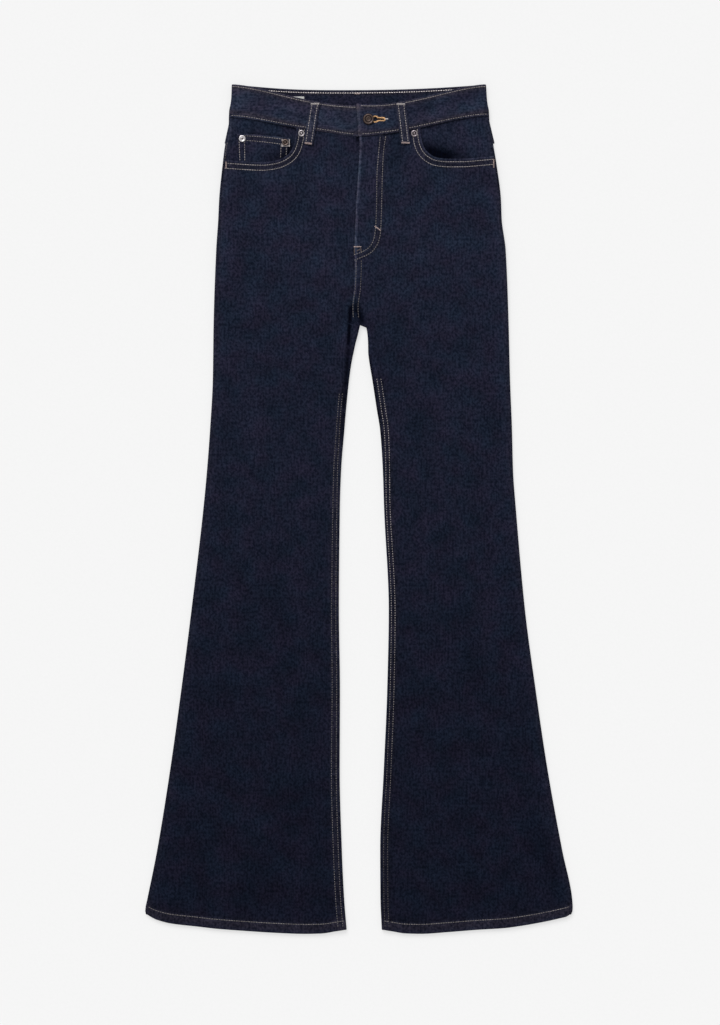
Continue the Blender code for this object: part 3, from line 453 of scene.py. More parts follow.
# Turned metal as (radius, distance, wear): depths below its top, then heights above its foot
BUTTON_TOP = ((0, 0.75, 0.8), (1.0, 0.72, 0.7), (2.0, 0.62, 0.5), (2.5, 0.42, 1.0), (2.9, 0.36, 1.0),
              (3.3, 0.5, 0.4), (3.7, 0.62, 0.0), (4.5, 0.55, 0.1), (5.0, 0.25, 0.7), (5.4, 0.06, 1.0),
              (5.9, 0, 1.0), (6.5, 0.08, 0.8), (7.0, 0.4, 0.4), (7.35, 0.9, 0.2), (7.5, 1.5, 0.1),
              (7.3, 2.1, 0), (6.8, 2.5, 0), (5.5, 2.8, 0), (2.0, 2.85, 0))
BUTTON_FOOT = ((2.0, 0.2, 0), (1.8, 0, 0), (0, 0, 0))
RIVET_NUB = ((0, 0.1), (0.5, 0.14), (0.9, 0.3))
RIVET_GROOVE = ((1.5, 0.85), (2.1, 0.85))
RIVET_RING = ((2.8, 0.2, 0.9), (3.2, 0.02, 1), (3.6, 0, 1), (4.0, 0.1, 1), (4.3, 0.35, 1), (4.55, 0.65, 0.9),
              (4.75, 0.9, 0.6))
RIVET_FOOT = ((4.72, 0.1, 0.2), (4.5, 0, 0), (0, 0, 0))
RIVETS = table(
    "name finish groove nub",
    ("pocket_right", "worn_nickel", 0.1, 1.0), ("pocket_left", "dull_nickel", 0.0, 1.0),
    ("coin_outer", "nickel", 0.75, 0.1), ("coin_inner", "brown_nickel", 0.0, 0.9),
)

# Colours
DENIM_DEEP = (0.0053, 0.0065, 0.0146)
DENIM_PALE = (0.0130, 0.0158, 0.0317)
DENIM_RUBBED_AND_HIGHLIGHT = (0.043, 0.047, 0.074)
GRAIN_SHADED = (0.46, 0.52, 0.60)
GRAIN_LIT = (1.54, 1.48, 1.40)
SEAM_TINT = (1.22, 0.95, 0.80)
HUE_COOL = (0.85, 1.05, 1.03)
HUE_WARM = (1.15, 0.95, 0.98)
THREADS = {"thread_cream": (0.312, 0.284, 0.278), "thread_rust": (0.375, 0.29, 0.275),
           "thread_gold": (0.82, 0.50, 0.24)}
METALS = table(
    "name colour stain roughness",
    ("bronze", (0.105, 0.077, 0.069), (0.02, 0.014, 0.013), 0.42),
    ("nickel", (0.82, 0.79, 0.80), (0.07, 0.055, 0.06), 0.3),
    ("worn_nickel", (0.44, 0.41, 0.43), (0.06, 0.05, 0.055), 0.32),
    ("dull_nickel", (0.32, 0.28, 0.30), (0.05, 0.04, 0.045), 0.34),
    ("brown_nickel", (0.165, 0.13, 0.118), (0.03, 0.02, 0.018), 0.38),
)

# The setting, in metres
VIEW_HEIGHT = 1.3735
VIEW_CENTRE = (0.00134, -0.004)
VIEW_LEVEL = 0.006
LENS = 135.0
SENSOR = 36.0
FLOOR_SIZE = 8.0
FLOOR_LEVEL = -0.0006
FLOOR_GLOW = 0.617
ROOM_LIGHT = 0.56
WINDOW_LIGHT = 2.05
WINDOW_SIZE = math.radians(35)
WINDOW_TURN = (math.radians(-42), math.radians(-22), 0)


def spread(*stretches):
    """Shares from 0 to 1, evenly spaced within each (end, steps) stretch."""
    start = 0.0
    shares = [np.zeros(1)]
    for end, steps in stretches:
        shares.append(np.linspace(start, end, steps + 1)[1:])
        start = end
    return np.concatenate(shares)


# Shares at which the grids are cut
BORDER_ANGLES = np.radians([90.0, 72.0, 54.0, 36.0, 18.0])
LEAST_TURN = 0.02
POCKET_SHARE = 0.59
ABOVE_HEM = 1 - 1.3 * HEM_DEPTH / (CROTCH[1] - HEM_CORNER)
FRONT_ACROSS = spread((0.06, 9), (POCKET_SHARE, 44), (0.9, 30), (1.0, 24))
BACK_ACROSS = spread((0.06, 6), (0.9, 54), (1.0, 12))
FRONT_DOWN = (spread((0.07, 10), (1.0, 76)), spread((0.05, 16), (0.955, 136), (ABOVE_HEM, 6), (1.0, 13)))
BACK_DOWN = (spread((1.0, 50)), spread((0.05, 12), (0.955, 76), (ABOVE_HEM, 5), (1.0, 13)))
BAND_DOWN = spread((0.03, 3), (0.09, 5), (0.88, 18), (0.97, 7), (1.0, 3))
BAND_ACROSS = np.linspace(0, 1, 130)
WHOLE_BAND_ACROSS = np.linspace(0, 1, 250)
LOOP_DOWN = spread((0.06, 5), (0.94, 30), (1.0, 5))
COIN_DOWN = spread((0.25, 16), (1.0, 22))


# Curves and levels


def curve_through(at, knots, values):
    """A monotone cubic through (knots, values), read at the given places; knots may run either way."""
    order = np.argsort(knots)
    knots = np.asarray(knots, float)[order]
    values = np.asarray(values, float)[order]
    step = np.diff(knots)
    slope = np.diff(values) / step
    product = slope[:-1] * slope[1:]
    middle = np.where(product > 0, 2 * product / np.where(product > 0, slope[:-1] + slope[1:], 1), 0)
    tangent = np.concatenate([slope[:1], middle, slope[-1:]])
    cell = np.clip(np.searchsorted(knots, at) - 1, 0, len(step) - 1)
    t = np.clip((at - knots[cell]) / step[cell], 0, 1)
    start = (1 + 2 * t) * (1 - t) ** 2 * values[cell] + t * (1 - t) ** 2 * step[cell] * tangent[cell]
    end = t**2 * (3 - 2 * t) * values[cell + 1] - t**2 * (1 - t) * step[cell] * tangent[cell + 1]
    return start + end


def read_table(rows, column, at):
    """Column of a table as a smooth function of the table's first column."""
    return curve_through(at, [row[0] for row in rows], [getattr(row, column) for row in rows])


def ease(low, high, at):
    """0 below low, 1 above high, and a smooth step between them."""
    t = np.clip((at - low) / (high - low), 0, 1)
    return t * t * (3 - 2 * t)


def plateau(at, start, full, falls, end):
    """0, then 1 between full and falls, then 0 again, with smooth steps."""
    return ease(start, full, at) * (1 - ease(falls, end, at))


def bell(at, middle, width):
    """exp(-((at - middle) / width)^2)"""
    return np.exp(-(((at - middle) / width) ** 2))


def mark(name, at):
    """One of the named marks: its size times a bell about its place."""
    row = MARKS[name]
    return row.size * bell(at, row.at, row.width)


def ripple(at, length, seed):
    """Uneven waves between about -1 and 1: sines of 1, 0.62 and 1.7 times the length, set off by seed."""
    turn = 2 * math.pi * at / length
    return (np.sin(turn + seed) + 0.6 * np.sin(turn / 0.62 + 2.3 * seed)
            + 0.5 * np.sin(turn / 1.7 + 4.1 * seed)) / 2.1


def lengths_along(path):
    """Length of a path up to each of its points."""
    return np.concatenate([[0], np.cumsum(np.linalg.norm(np.diff(path, axis=0), axis=1))])


def path_through(points, shares):
    """A smooth path through a few points, read at shares of its length."""
    points = np.array(points, float)
    length = lengths_along(points)
    return np.column_stack([curve_through(shares * length[-1], length, points[:, k]) for k in (0, 1)])


def away_from(path, x, y):
    """Distance from each (x, y) to the nearest point of a path of closely spaced points."""
    apart_x = np.asarray(x)[..., None] - path[:, 0]
    apart_y = np.asarray(y)[..., None] - path[:, 1]
    return np.sqrt((apart_x**2 + apart_y**2).min(-1))


def apart(edge, inward_side, distance):
    """An edge that runs from the waist down, set squarely towards its own panel by a distance."""
    along = np.gradient(edge, axis=0)
    along /= np.linalg.norm(along, axis=1, keepdims=True)
    inward = inward_side * np.column_stack([-along[:, 1], along[:, 0]])
    return edge + inward * np.reshape(distance, (-1, 1))


def waist_edge(x, dip, power):
    """y of the waistband's top edge: a bowl that dips at the centre and runs out at the sides."""
    share = np.clip(np.abs(x) / WAIST_HALF, 0, 1)
    return WAIST_TOP - dip * (1 - share**2) ** power


def front_waist(x):
    return waist_edge(x, FRONT_DIP, FRONT_DIP_POWER)


def back_waist(x):
    return waist_edge(x, BACK_DIP, 1) - BACK_SAG * bell(x, *BACK_SAG_AT)


def band_height(x):
    return read_table(BAND_HEIGHTS, "height", x)


def front_band_seam(x):
    return front_waist(x) - band_height(x)


def back_band_seam(x):
    return back_waist(x) - band_height(x)


def yoke_seam(x):
    """y of the seam below the yoke: a V that is deepest at the centre back."""
    share = np.clip(np.abs(x) / WAIST_HALF, 0, 1)
    return back_band_seam(x) - YOKE_AT_CENTRE + (YOKE_AT_CENTRE - YOKE_AT_SIDE) * share


def hem_y(side, share):
    """y of the hem's lowest row of points, which its rounded edge reaches past."""
    return HEM_CORNER + EDGE_ROUND - read_table(HEM_CURVE, side, share)


def hem_ends(side):
    """x of the side seam's end and of the inseam's."""
    return getattr(SIDE_SEAMS[-1], side), getattr(INSEAMS[-1], side)


def hem_line(side, share):
    """The hem from the side seam to the inseam, as (x, y) rows."""
    outer_x, inner_x = hem_ends(side)
    return np.column_stack([outer_x + (inner_x - outer_x) * share, hem_y(side, share)])


def above_hem(side, x, y):
    """Height of (x, y) above the lower edge of the hem."""
    outer_x, inner_x = hem_ends(side)
    return y - hem_y(side, np.clip((x - outer_x) / (inner_x - outer_x), 0, 1))


def in_hem(above, past=1.2):
    """1 on the folded hem and 0 on the leg above it."""
    return 1 - ease(HEM_DEPTH - 0.8, HEM_DEPTH + past, above)


def beside_inseam(side, x, y):
    """Distance from the inseam into the leg."""
    return SIGN[side] * (x - read_table(INSEAMS, side, y))


def beside_side_seam(side, x, y):
    """Distance from the side seam into the leg."""
    return SIGN[side] * (read_table(SIDE_SEAMS, side, y) - x)


def beside_centre(x, y):
    """Distance from the centre front towards the wearer's left."""
    return x - read_table(CENTRE_FRONT, "x", y)


def seat(y):
    """1 over the seat and 0 along the legs."""
    return ease(*SEAT_RISE, y)


def seam_level(y):
    """Level at which the front and back borders meet."""
    return LEG_SEAM_LEVEL + (SEAT_SEAM_LEVEL - LEG_SEAM_LEVEL) * seat(y)


def folds(rows, x, y, column="height"):
    """Sum of bells: height or tone * exp(-(distance to the fold's line / width)^2)."""
    total = 0 * x
    for fold in rows:
        along = np.array([fold.x1 - fold.x0, fold.y1 - fold.y0])
        share = np.clip(((x - fold.x0) * along[0] + (y - fold.y0) * along[1]) / (along @ along), 0, 1)
        away = np.hypot(x - fold.x0 - share * along[0], y - fold.y0 - share * along[1])
        total = total + getattr(fold, column) * bell(away, 0, fold.width)
    return total


# Relief of the front


def grooves(form, at, first, last):
    """Soft grooves at two lines of stitches."""
    return form.groove * (bell(at, first, form.width) + bell(at, last, form.width))


def hem_relief(side, x, y):
    """The folded hem stands above the leg and is roped into uneven slanting puckers."""
    form = RELIEFS["hem"]
    above = above_hem(side, x, y)
    pucker = ripple(x + 0.7 * above, form.wave, 1.0 + SIGN[side]) * bell(above, 0.62 * HEM_DEPTH, form.spread)
    groove = form.groove * bell(above, HEM_LINE, form.width)
    return form.raised * in_hem(above) + form.pucker * pucker - groove


def inseam_offsets(side, y):
    """Distances of the inseam's two lines of stitches from the edge."""
    low = 1 - ease(-480.0, 20.0, y)
    high = ease(0.0, 150.0, y)
    return [row.line + row.hem * low + row.thigh * high for row in INSEAM_LINES[side]]


def inseam_relief(side, x, y):
    """The felled seam is a flat ridge beside the edge that turns under towards the crotch."""
    form = RELIEFS["inseam"]
    beside = beside_inseam(side, x, y)
    inner, outer = inseam_offsets(side, y)
    ridge = plateau(beside, 1.0, 3.0, outer + 0.8, outer + 3.2)
    pucker = ripple(y, form.wave, 3.0 * SIGN[side]) * bell(beside, (inner + outer) / 2, form.spread)
    shown = 1 - ease(INSEAM_SHOWN[side], INSEAM_SHOWN[side] + 50, y)
    return (form.raised * ridge - grooves(form, beside, inner, outer) + form.pucker * pucker) * shown


def fly_relief(x, y):
    """The fly's extra layers: a flat swelling out to the curved stitches, with faint level puckers."""
    form = RELIEFS["fly"]
    first, last = [read_table(line, "x", y) for line in FLY_LINES]
    swell = ease(*FLY_SWELLS_FROM, y) * (1 - ease(last - 0.6, last + 2.4, x))
    stretch = ease(*FLY_PUCKERS_PAST_CENTRE, beside_centre(x, y)) * (1 - ease(*FLY_PUCKERS_END, x))
    pucker = ripple(y, form.wave, 2.0) * (stretch * ease(*FLY_PUCKERS_FROM, y))
    groove = grooves(form, x, first, last) * ease(*FLY_GROOVES_FROM, y)
    return swell * (form.raised + form.pucker * pucker) - groove


def crotch_seam_relief(x, y):
    """Between its twin stitches the crotch seam stands up, below the fly."""
    ridge = plateau(beside_centre(x, y), 0.0, 1.2, CROTCH_LINES[1] + 0.4, CROTCH_LINES[1] + 2.6)
    return CROTCH_RIDGE * ridge * plateau(y, *CROTCH_RIDGE_SPAN)


def pocket_path(side):
    return path_through(POCKET_EDGES[side], np.linspace(0, 1, 90))


def pocket_offset(line, side, x):
    """Distance of a line of stitches from the pocket's edge, along its level part and its curve."""
    return line.level_part + (line.curve - line.level_part) * (1 - ease(*POCKET_CURVE, SIGN[side] * x))


def pocket_relief(side, x, y):
    """The folded edge of the pocket: a double layer that gapes where it curves."""
    form = RELIEFS["pocket"]
    gape = GAPES[side]
    away = away_from(pocket_path(side), x, y)
    first = POCKET_LINES[0].level_part
    last = pocket_offset(POCKET_LINES[1], side, x)
    fold = 1 - ease(last - 0.6, last + 2.0, away)
    gaping = gape.lift * bell(SIGN[side] * x, gape.x, EDGE_LIFT_SPREAD)
    lift = mark("pocket_lift", away) * (EDGE_LIFT + gaping)
    pucker = ripple(x + y, form.wave, 5.0 + SIGN[side]) * bell(away, (first + last) / 2, form.spread)
    return form.raised * fold - grooves(form, away, first, last) + lift + form.pucker * pucker


def mouth(side, x, y):
    """1 in the gaping mouth of a front pocket, fading to 0 around it."""
    gape = GAPES[side]
    away = away_from(pocket_path(side), x, y)
    return mark("mouth", away) * bell(SIGN[side] * x, gape.x, gape.reach) * (1 - ease(*MOUTH_FADE, y))


def bare_front_level(x, y):
    """Level of the front's outer face before its sewing raises it."""
    return read_table(FRONT_HEIGHTS, "level", y) + folds(FRONT_FOLDS, x, y)


def drape(x, y):
    """Slow uneven waves of cloth that lies loose, up to half a millimetre."""
    return sum(row.height * ripple(row.across * x + row.down * y, row.length, row.seed) for row in DRAPE)


def tuck(x, y):
    """How far the upper edge of a panel dips under the waistband that is sewn over it."""
    return TUCK_DEPTH * ease(*TUCK_FROM, y - front_band_seam(x))


def front_level(side, x, y):
    """Level of a front panel's outer face. The left one is lifted by the right one's underlap."""
    level = bare_front_level(x, y) + drape(x, y) + hem_relief(side, x, y)
    level = level + inseam_relief(side, x, y) + pocket_relief(side, x, y) - tuck(x, y)
    if side == "right":
        return level
    lap = FLY_LIFT * (1 - ease(*FLY_LAP_FADE, x)) * ease(*FLY_LAP_START, y)
    return level + lap + fly_relief(x, y) + crotch_seam_relief(x, y)


def facing_level(side, x, y):
    """One layer below the front. The right facing sinks by one more, under the coin pocket."""
    level = bare_front_level(x, y) - CLOTH - LAYER_GAP - GAPES[side].sink * mouth(side, x, y)
    if side == "left":
        return level + 0.18 * ripple(x - y, 33.0, 2.0)
    beside = ease(*COIN_SINK_STARTS, beside_side_seam(side, x, y))
    return level - COIN_SINK * beside * (1 - ease(*COIN_SINK_ENDS, y))


def across_coin(x):
    """Share of the way along the coin pocket's top edge, towards the centre front."""
    return (x - COIN_TOP[0].x) / (COIN_TOP[1].x - COIN_TOP[0].x)


def coin_top(x):
    """The coin pocket's top edge, which bows up a little between its corners."""
    share = across_coin(x)
    return COIN_TOP[0].y + share * (COIN_TOP[1].y - COIN_TOP[0].y) + 4 * COIN_BOW * share * (1 - share)


def coin_second_line(x):
    """How far the second line of stitches lies below the coin pocket's top edge."""
    near, far = COIN_LINES_APART
    return COIN_LINE + near + (far - near) * across_coin(x)


def coin_level(x, y):
    """One layer below the front, with grooves along the stitches and a folded top edge."""
    form = RELIEFS["coin"]
    below_top = coin_top(x) - y
    fold = form.raised * (1 - ease(8.6, 10.4, below_top))
    pucker = form.pucker * ripple(x, form.wave, 1.0) * bell(below_top, 5.0, form.spread)
    relief = fold - grooves(form, below_top, COIN_LINE, coin_second_line(x)) + pucker
    return bare_front_level(x, y) - CLOTH - LAYER_GAP + relief


def band_relief(waist, x, y):
    """The waistband swells between its two lines of stitches and is faintly puckered along them."""
    form = RELIEFS["band"]
    up = y - waist(x) + band_height(x)
    down = waist(x) - y
    swell = ease(0.0, 5.0, up) * ease(0.0, 5.0, down)
    groove = form.groove * (bell(down, BAND_LINES[0], form.width) + bell(up, BAND_LINES[1], form.width))
    pucker = ripple(x, form.wave, 2.5) * (bell(down, 4.0, form.spread) + bell(up, 4.0, form.spread))
    return form.raised * swell - groove + form.pucker * pucker + 0.14 * ripple(x + 2 * y, 41.0, 1.2) * swell


def band_level(side, x, y):
    """Level of the front waistband, which falls at the sides; the left half's tab lies on the right."""
    fall = BAND_SIDE_FALL * ease(BAND_SIDE_FALL_FROM, WAIST_HALF, np.abs(x))
    level = BAND_LEVEL - fall + band_relief(front_waist, x, y) + folds(BAND_FOLDS, x, y)
    if side == "right":
        return level
    return level + (BAND_CLOTH + LAYER_GAP) * (1 - ease(*TAB_LAP_FADE, x))


# Levels of the hidden side, whose outer face looks down


def underside(side, x, y):
    """Level of the back's outer face: on the surface along the legs, on the pockets at the seat."""
    lift = np.maximum(folds(BACK_FOLDS, x, y), 0)
    wave = 0.12 + 0.12 * ripple(x - 0.4 * y, 61.0, 0.8)
    free = ease(HEM_DEPTH, HEM_DEPTH + 6.0, above_hem(side, x, y))
    return SEAT_LIFT * seat(y) + (lift + wave) * free


def back_band_level(x, y):
    return SEAT_LIFT - 0.5 * band_relief(back_waist, x, y)


def back_band_thickness(x, y):
    """The back band is thickest where it swells, so that both its faces do."""
    return BAND_CLOTH + 0.3 * band_relief(back_waist, x, y)


def inside_band_level(x, y):
    """The face of the back waistband that is seen inside the waist."""
    return back_band_level(x, y) + back_band_thickness(x, y)


def yoke_level(x, y):
    """The yoke turns up under the waistband, and is pressed down on the panel at its foot."""
    lapped = YOKE_LAPPED * (1 - ease(*YOKE_LAP_RUNS_OUT, y - yoke_seam(x)))
    return SEAT_LIFT + YOKE_RAISED - lapped + YOKE_TUCK * ease(*TUCK_FROM, y - back_band_seam(x))


def patch_pocket_level(x, y):
    return 0.12 + 0.1 * ripple(x + y, 27.0, 1.1)


def front_loop_level(loop, x, y):
    """Level of a front loop: on the waistband, then on the panel, bowed between, and ribbed."""
    side = "left" if loop.top_x > 0 else "right"
    seam = front_band_seam(x)
    on_panel = front_level(side, x, np.minimum(y, seam - 3))
    on_band = band_level(side, x, np.maximum(y, seam + 4))
    share = np.clip((loop.top_y - y) / (loop.top_y - loop.foot_y), 0, 1)
    beside = np.abs(x - loop.top_x - (loop.foot_x - loop.top_x) * share)
    ends = mark("loop_end", share) + mark("loop_end", 1 - share)
    rib = LOOP_RIB * (1 - ease(0.0, LOOP_LINE, beside)) - mark("loop_groove", beside - LOOP_LINE)
    bow = LOOP_BOW * np.sin(math.pi * share)
    below = (1 - ease(-8, 2, y - seam)) * (on_panel - on_band)
    return on_band + below + LOOP_SEAT + CLOTH + bow + rib + ends


def back_loop_level(loop, x, y):
    """The back loops lie level on the surface."""
    return 0.0 * x


# Grids of points


Border = namedtuple("Border", "edge inward turn radius")
Grid = namedtuple("Grid", "points away cloth")


def border(edge, inward_side, turn, radius):
    """A bent border along an edge that runs mostly along the garment, with the cloth beside it.

    inward_side is 1 where the cloth lies towards +X and -1 where it lies towards -X. turn is the
    share of a right angle that the border bends through, for each point of the edge.
    """
    inward = np.column_stack([np.full(len(edge), inward_side), np.zeros(len(edge))])
    return Border(edge, inward, np.maximum(turn + np.zeros(len(edge)), LEAST_TURN), radius)


def border_reach(bend, angle):
    """Distance from the flat cloth to the point at this angle: radius * sin(turn * angle) / turn."""
    return (bend.radius * np.sin(bend.turn * angle) / bend.turn)[:, None]


def flat_edge(bend):
    return bend.edge + bend.inward * border_reach(bend, math.pi / 2)


def across_between(first, last, share):
    """Points on the straight line between two points, at each share."""
    return first + (last - first) * np.asarray(share)[:, None]


def patch(top, bottom, outer, inner, across, down):
    """A Coons patch stretched between four edges, whose ends are first drawn to the side edges."""
    u = across[None, :, None]
    v = down[:, None, None]
    top = top + (1 - across)[:, None] * (outer[0] - top[0]) + across[:, None] * (inner[0] - top[-1])
    bottom = (bottom + (1 - across)[:, None] * (outer[-1] - bottom[0])
              + across[:, None] * (inner[-1] - bottom[-1]))
    between_ends = (1 - v) * top[None] + v * bottom[None]
    between_sides = (1 - u) * outer[:, None] + u * inner[:, None]
    corners = ((1 - v) * ((1 - u) * outer[0] + u * inner[0])
               + v * ((1 - u) * outer[-1] + u * inner[-1]))
    return between_ends + between_sides - corners


def bent_column(bend, angle, level, up, meet):
    """Points, outward directions and flat places of a border at one angle: a quarter ellipse."""
    flat = flat_edge(bend)
    height = level(flat[:, 0], flat[:, 1])
    drop = up * (height - meet(bend.edge[:, 1])) - SEAM_GAP / 2
    lean = bend.turn * angle
    place = flat - bend.inward * border_reach(bend, angle)
    z = height - up * drop * (1 - np.cos(lean))
    sideways = -bend.inward * (drop * np.sin(lean))[:, None]
    away = np.column_stack([sideways, up * bend.radius / bend.turn * np.cos(lean)])
    cloth = flat - bend.inward * bend.radius * angle
    return np.column_stack([place, z]), away / np.linalg.norm(away, axis=1, keepdims=True), cloth


def bent_strip(bend, angles, *rest):
    """The columns of a border at all the angles, side by side."""
    columns = [bent_column(bend, angle, *rest) for angle in angles]
    return [np.stack(kind, axis=1) for kind in zip(*columns)]


def sheet(flat, level, up=1, outer=None, inner=None, meet=seam_level):
    """Outer face of a piece: its flat grid at the given level, with bent borders at either side.

    meet gives the level where a border ends, half a gap short of the piece that it is sewn to.
    """
    z = level(flat[..., 0], flat[..., 1])
    points = np.concatenate([flat, z[..., None]], axis=2)
    strips = [[points, np.zeros_like(points) + [0, 0, up], flat]]
    if outer:
        strips.insert(0, bent_strip(outer, BORDER_ANGLES, level, up, meet))
    if inner:
        strips.append(bent_strip(inner, BORDER_ANGLES[::-1], level, up, meet))
    return Grid(*[np.concatenate(kind, axis=1) for kind in zip(*strips)])


def once_round(rows):
    """The outermost entries of a grid, once round."""
    return np.concatenate([rows[0], rows[1:, -1], rows[-1, -2::-1], rows[-2:0:-1, 0]])


# Meshes


def mesh_object(name, places, faces, finish, cloth=None, **layers):
    """A piece at the origin from places in millimetres, with flat cloth places as its UV map."""
    mesh = bpy.data.meshes.new(name)
    mesh.from_pydata((places * MM).tolist(), [], faces)
    corner = np.zeros(len(mesh.loops), np.int32)
    mesh.loops.foreach_get("vertex_index", corner)
    if cloth is not None:
        layer = mesh.uv_layers.new(name="cloth")
        layer.uv.foreach_set("vector", (cloth[corner] * MM).astype(np.float32).ravel())
    for layer_name, values in layers.items():
        layer = mesh.attributes.new(layer_name, "FLOAT", "POINT")
        layer.data.foreach_set("value", values.astype(np.float32))
    mesh.shade_smooth()
    mesh.materials.append(finishes[finish])
    made = bpy.data.objects.new(name, mesh)
    bpy.context.scene.collection.objects.link(made)
    return made


def shell(name, grid, thickness, finish, wear, pucker):
    """A closed cloth between an outer grid and the same grid set inward, with a half-round rim.

    The rim's points are middle + half * sin(angle) + out * round * cos(angle), where half runs from
    the middle of the cloth to its outer face and out points away from the piece along its face.
    """
    rows, columns = grid.points.shape[:2]
    under = rows * columns
    depth = np.broadcast_to(thickness, (rows, columns)).reshape(-1, 1)
    away = grid.away.reshape(-1, 3)
    outer = grid.points.reshape(-1, 3)
    inner = outer - away * depth
    number = np.arange(under).reshape(rows, columns)
    ring = once_round(number)
    middle = (outer[ring] + inner[ring]) / 2
    half = (outer[ring] - inner[ring]) / 2
    out = np.cross(np.roll(middle, -1, axis=0) - np.roll(middle, 1, axis=0), half)
    out /= np.linalg.norm(out, axis=1, keepdims=True)
    if np.sum(out * (middle - middle.mean(axis=0))) < 0:
        out = -out
    bulge = out * np.linalg.norm(half, axis=1, keepdims=True) * RIM_ROUND
    rims = [middle + half * math.sin(angle) + bulge * math.cos(angle) for angle in RIM_ANGLES]
    loops = [ring] + [2 * under + k * len(ring) + np.arange(len(ring)) for k in range(len(rims))]
    loops.append(ring + under)
    quads = np.stack([number[:-1, :-1], number[:-1, 1:], number[1:, 1:], number[1:, :-1]], axis=-1)
    quads = quads.reshape(-1, 4)
    bands = [np.column_stack([np.roll(a, -1), a, b, np.roll(b, -1)]) for a, b in zip(loops, loops[1:])]
    faces = np.concatenate([quads, quads[:, ::-1] + under, *bands])
    corner = outer[quads]
    facing = np.cross(corner[:, 1] - corner[:, 0], corner[:, 2] - corner[:, 1]).sum(axis=0)
    if facing @ away.sum(axis=0) < 0:
        faces = faces[:, ::-1]

    def on_all(values, more=0):
        """Values of the outer face given to both faces, and with more to the rim."""
        return np.concatenate([values, values] + [values[ring] + more] * len(rims))

    x, y = outer[:, 0], outer[:, 1]
    # The wear layer holds the cloth's real wear together with painted shade and light.
    return mesh_object(name, np.concatenate([outer, inner, *rims]), faces.tolist(), finish,
                       on_all(grid.cloth.reshape(-1, 2)), wear=on_all(wear(x, y) + 0 * x, RIM_WEAR),
                       pucker=on_all(pucker(x, y) + 0 * x))


def turned(name, profile, place, finish, steps):
    """A closed solid turned about its upright axis through place.

    The profile is (radius, level, wear) rows from the pole on top round to the pole below; every
    other row becomes a ring (x + radius * cos(turn), y + radius * sin(turn), level).
    """
    profile = np.array(profile, float)
    turn = np.arange(steps) * 2 * math.pi / steps
    rings = profile[1:-1]
    x = place[0] + rings[:, :1] * np.cos(turn)
    y = place[1] + rings[:, :1] * np.sin(turn)
    z = rings[:, 1:2] + 0 * x
    poles = [[*place, profile[0, 1]], [*place, profile[-1, 1]]]
    places = np.concatenate([np.stack([x, y, z], axis=-1).reshape(-1, 3), poles])
    number = np.arange(len(rings) * steps).reshape(len(rings), steps)
    after = np.roll(number, -1, axis=1)
    quads = np.stack([number[:-1], number[1:], after[1:], after[:-1]], axis=-1).reshape(-1, 4)
    top = np.column_stack([np.full(steps, number.size), number[0], after[0]])
    foot = np.column_stack([np.full(steps, number.size + 1), after[-1], number[-1]])
    faces = quads.tolist() + top.tolist() + foot.tolist()
    worn = np.concatenate([np.repeat(rings[:, 2], steps), profile[[0, -1], 2]])
    return mesh_object(name, places, faces, finish, wear=worn)


def dress(piece, slot_name, *nodes):
    """Lets a piece ride on the garment's body and hides the solid it stands for."""
    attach(piece, "root")
    if nodes:
        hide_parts(*nodes)
    return piece


def cloth_piece(name, node, grid, wear, pucker, thickness=CLOTH, finish="denim", slot_name="denim"):
    """A shell in place of a solid, made from its grid of the flat cloth."""
    piece = dress(shell(name, grid, thickness, finish, wear, pucker), slot_name, node)
    return piece


# Stitches


Run = namedtuple("Run", "start end up")
STATIONS = ((-0.36, 0.86, 0.0), (0.0, 1.0, 0.16), (0.36, 0.86, 0.0))
STITCH_SIDES = 6
STITCH_SINK = -0.7
draws = np.random.RandomState(7)


def stitch_form():
    """Places (along, across, up) and faces of one stitch: three rings of six between two points."""
    turn = np.arange(STITCH_SIDES) * 2 * math.pi / STITCH_SIDES
    rings = [np.column_stack([np.full(STITCH_SIDES, at), size * np.cos(turn) / 2,
                              size * np.sin(turn) / 2 + rise]) for at, size, rise in STATIONS]
    places = np.concatenate([*rings, [[-0.5, 0, STITCH_SINK], [0.5, 0, STITCH_SINK]]])
    faces = []
    first, last = len(STATIONS) * STITCH_SIDES, len(STATIONS) * STITCH_SIDES + 1
    for k in range(STITCH_SIDES):
        after = (k + 1) % STITCH_SIDES
        faces.append([first, after, k])
        for ring in range(len(STATIONS) - 1):
            low = ring * STITCH_SIDES
            high = low + STITCH_SIDES
            faces.append([low + k, low + after, high + after, high + k])
        faces.append([high + k, high + after, last])
    return places, faces


def read_path(path, at):
    """Points of a path at the given lengths along it."""
    length = lengths_along(path)
    return np.column_stack([np.interp(at, length, path[:, k]) for k in (0, 1)])


def along_path(path, pitch):
    """Points of a path at every pitch of its length."""
    length = lengths_along(path)[-1]
    return read_path(path, np.linspace(0, length, max(2, round(length / pitch) + 1)))


def on_cloth(start, end, level, up=1):
    """Threads between (x, y) pairs, laid on a face at its own level."""
    start = np.column_stack([start, level(start[:, 0], start[:, 1])])
    end = np.column_stack([end, level(end[:, 0], end[:, 1])])
    return Run(start, end, np.full(len(start), float(up)))


def run_along(path, level, up=1, length=STITCH_LENGTH):
    """A line of stitches along a path on an outer face: each fills most of one pitch of its length."""
    stops = along_path(path, STITCH_PITCH)
    step = stops[1:] - stops[:-1]
    share = (1 - length / STITCH_PITCH) / 2 + draws.uniform(-STITCH_SHIFT, STITCH_SHIFT, (len(step), 1))
    side = np.column_stack([-step[:, 1], step[:, 0]]) * draws.normal(0, STITCH_SWAY, (len(step), 1))
    return on_cloth(stops[:-1] + step * share - side, stops[1:] - step * share + side, level, up)


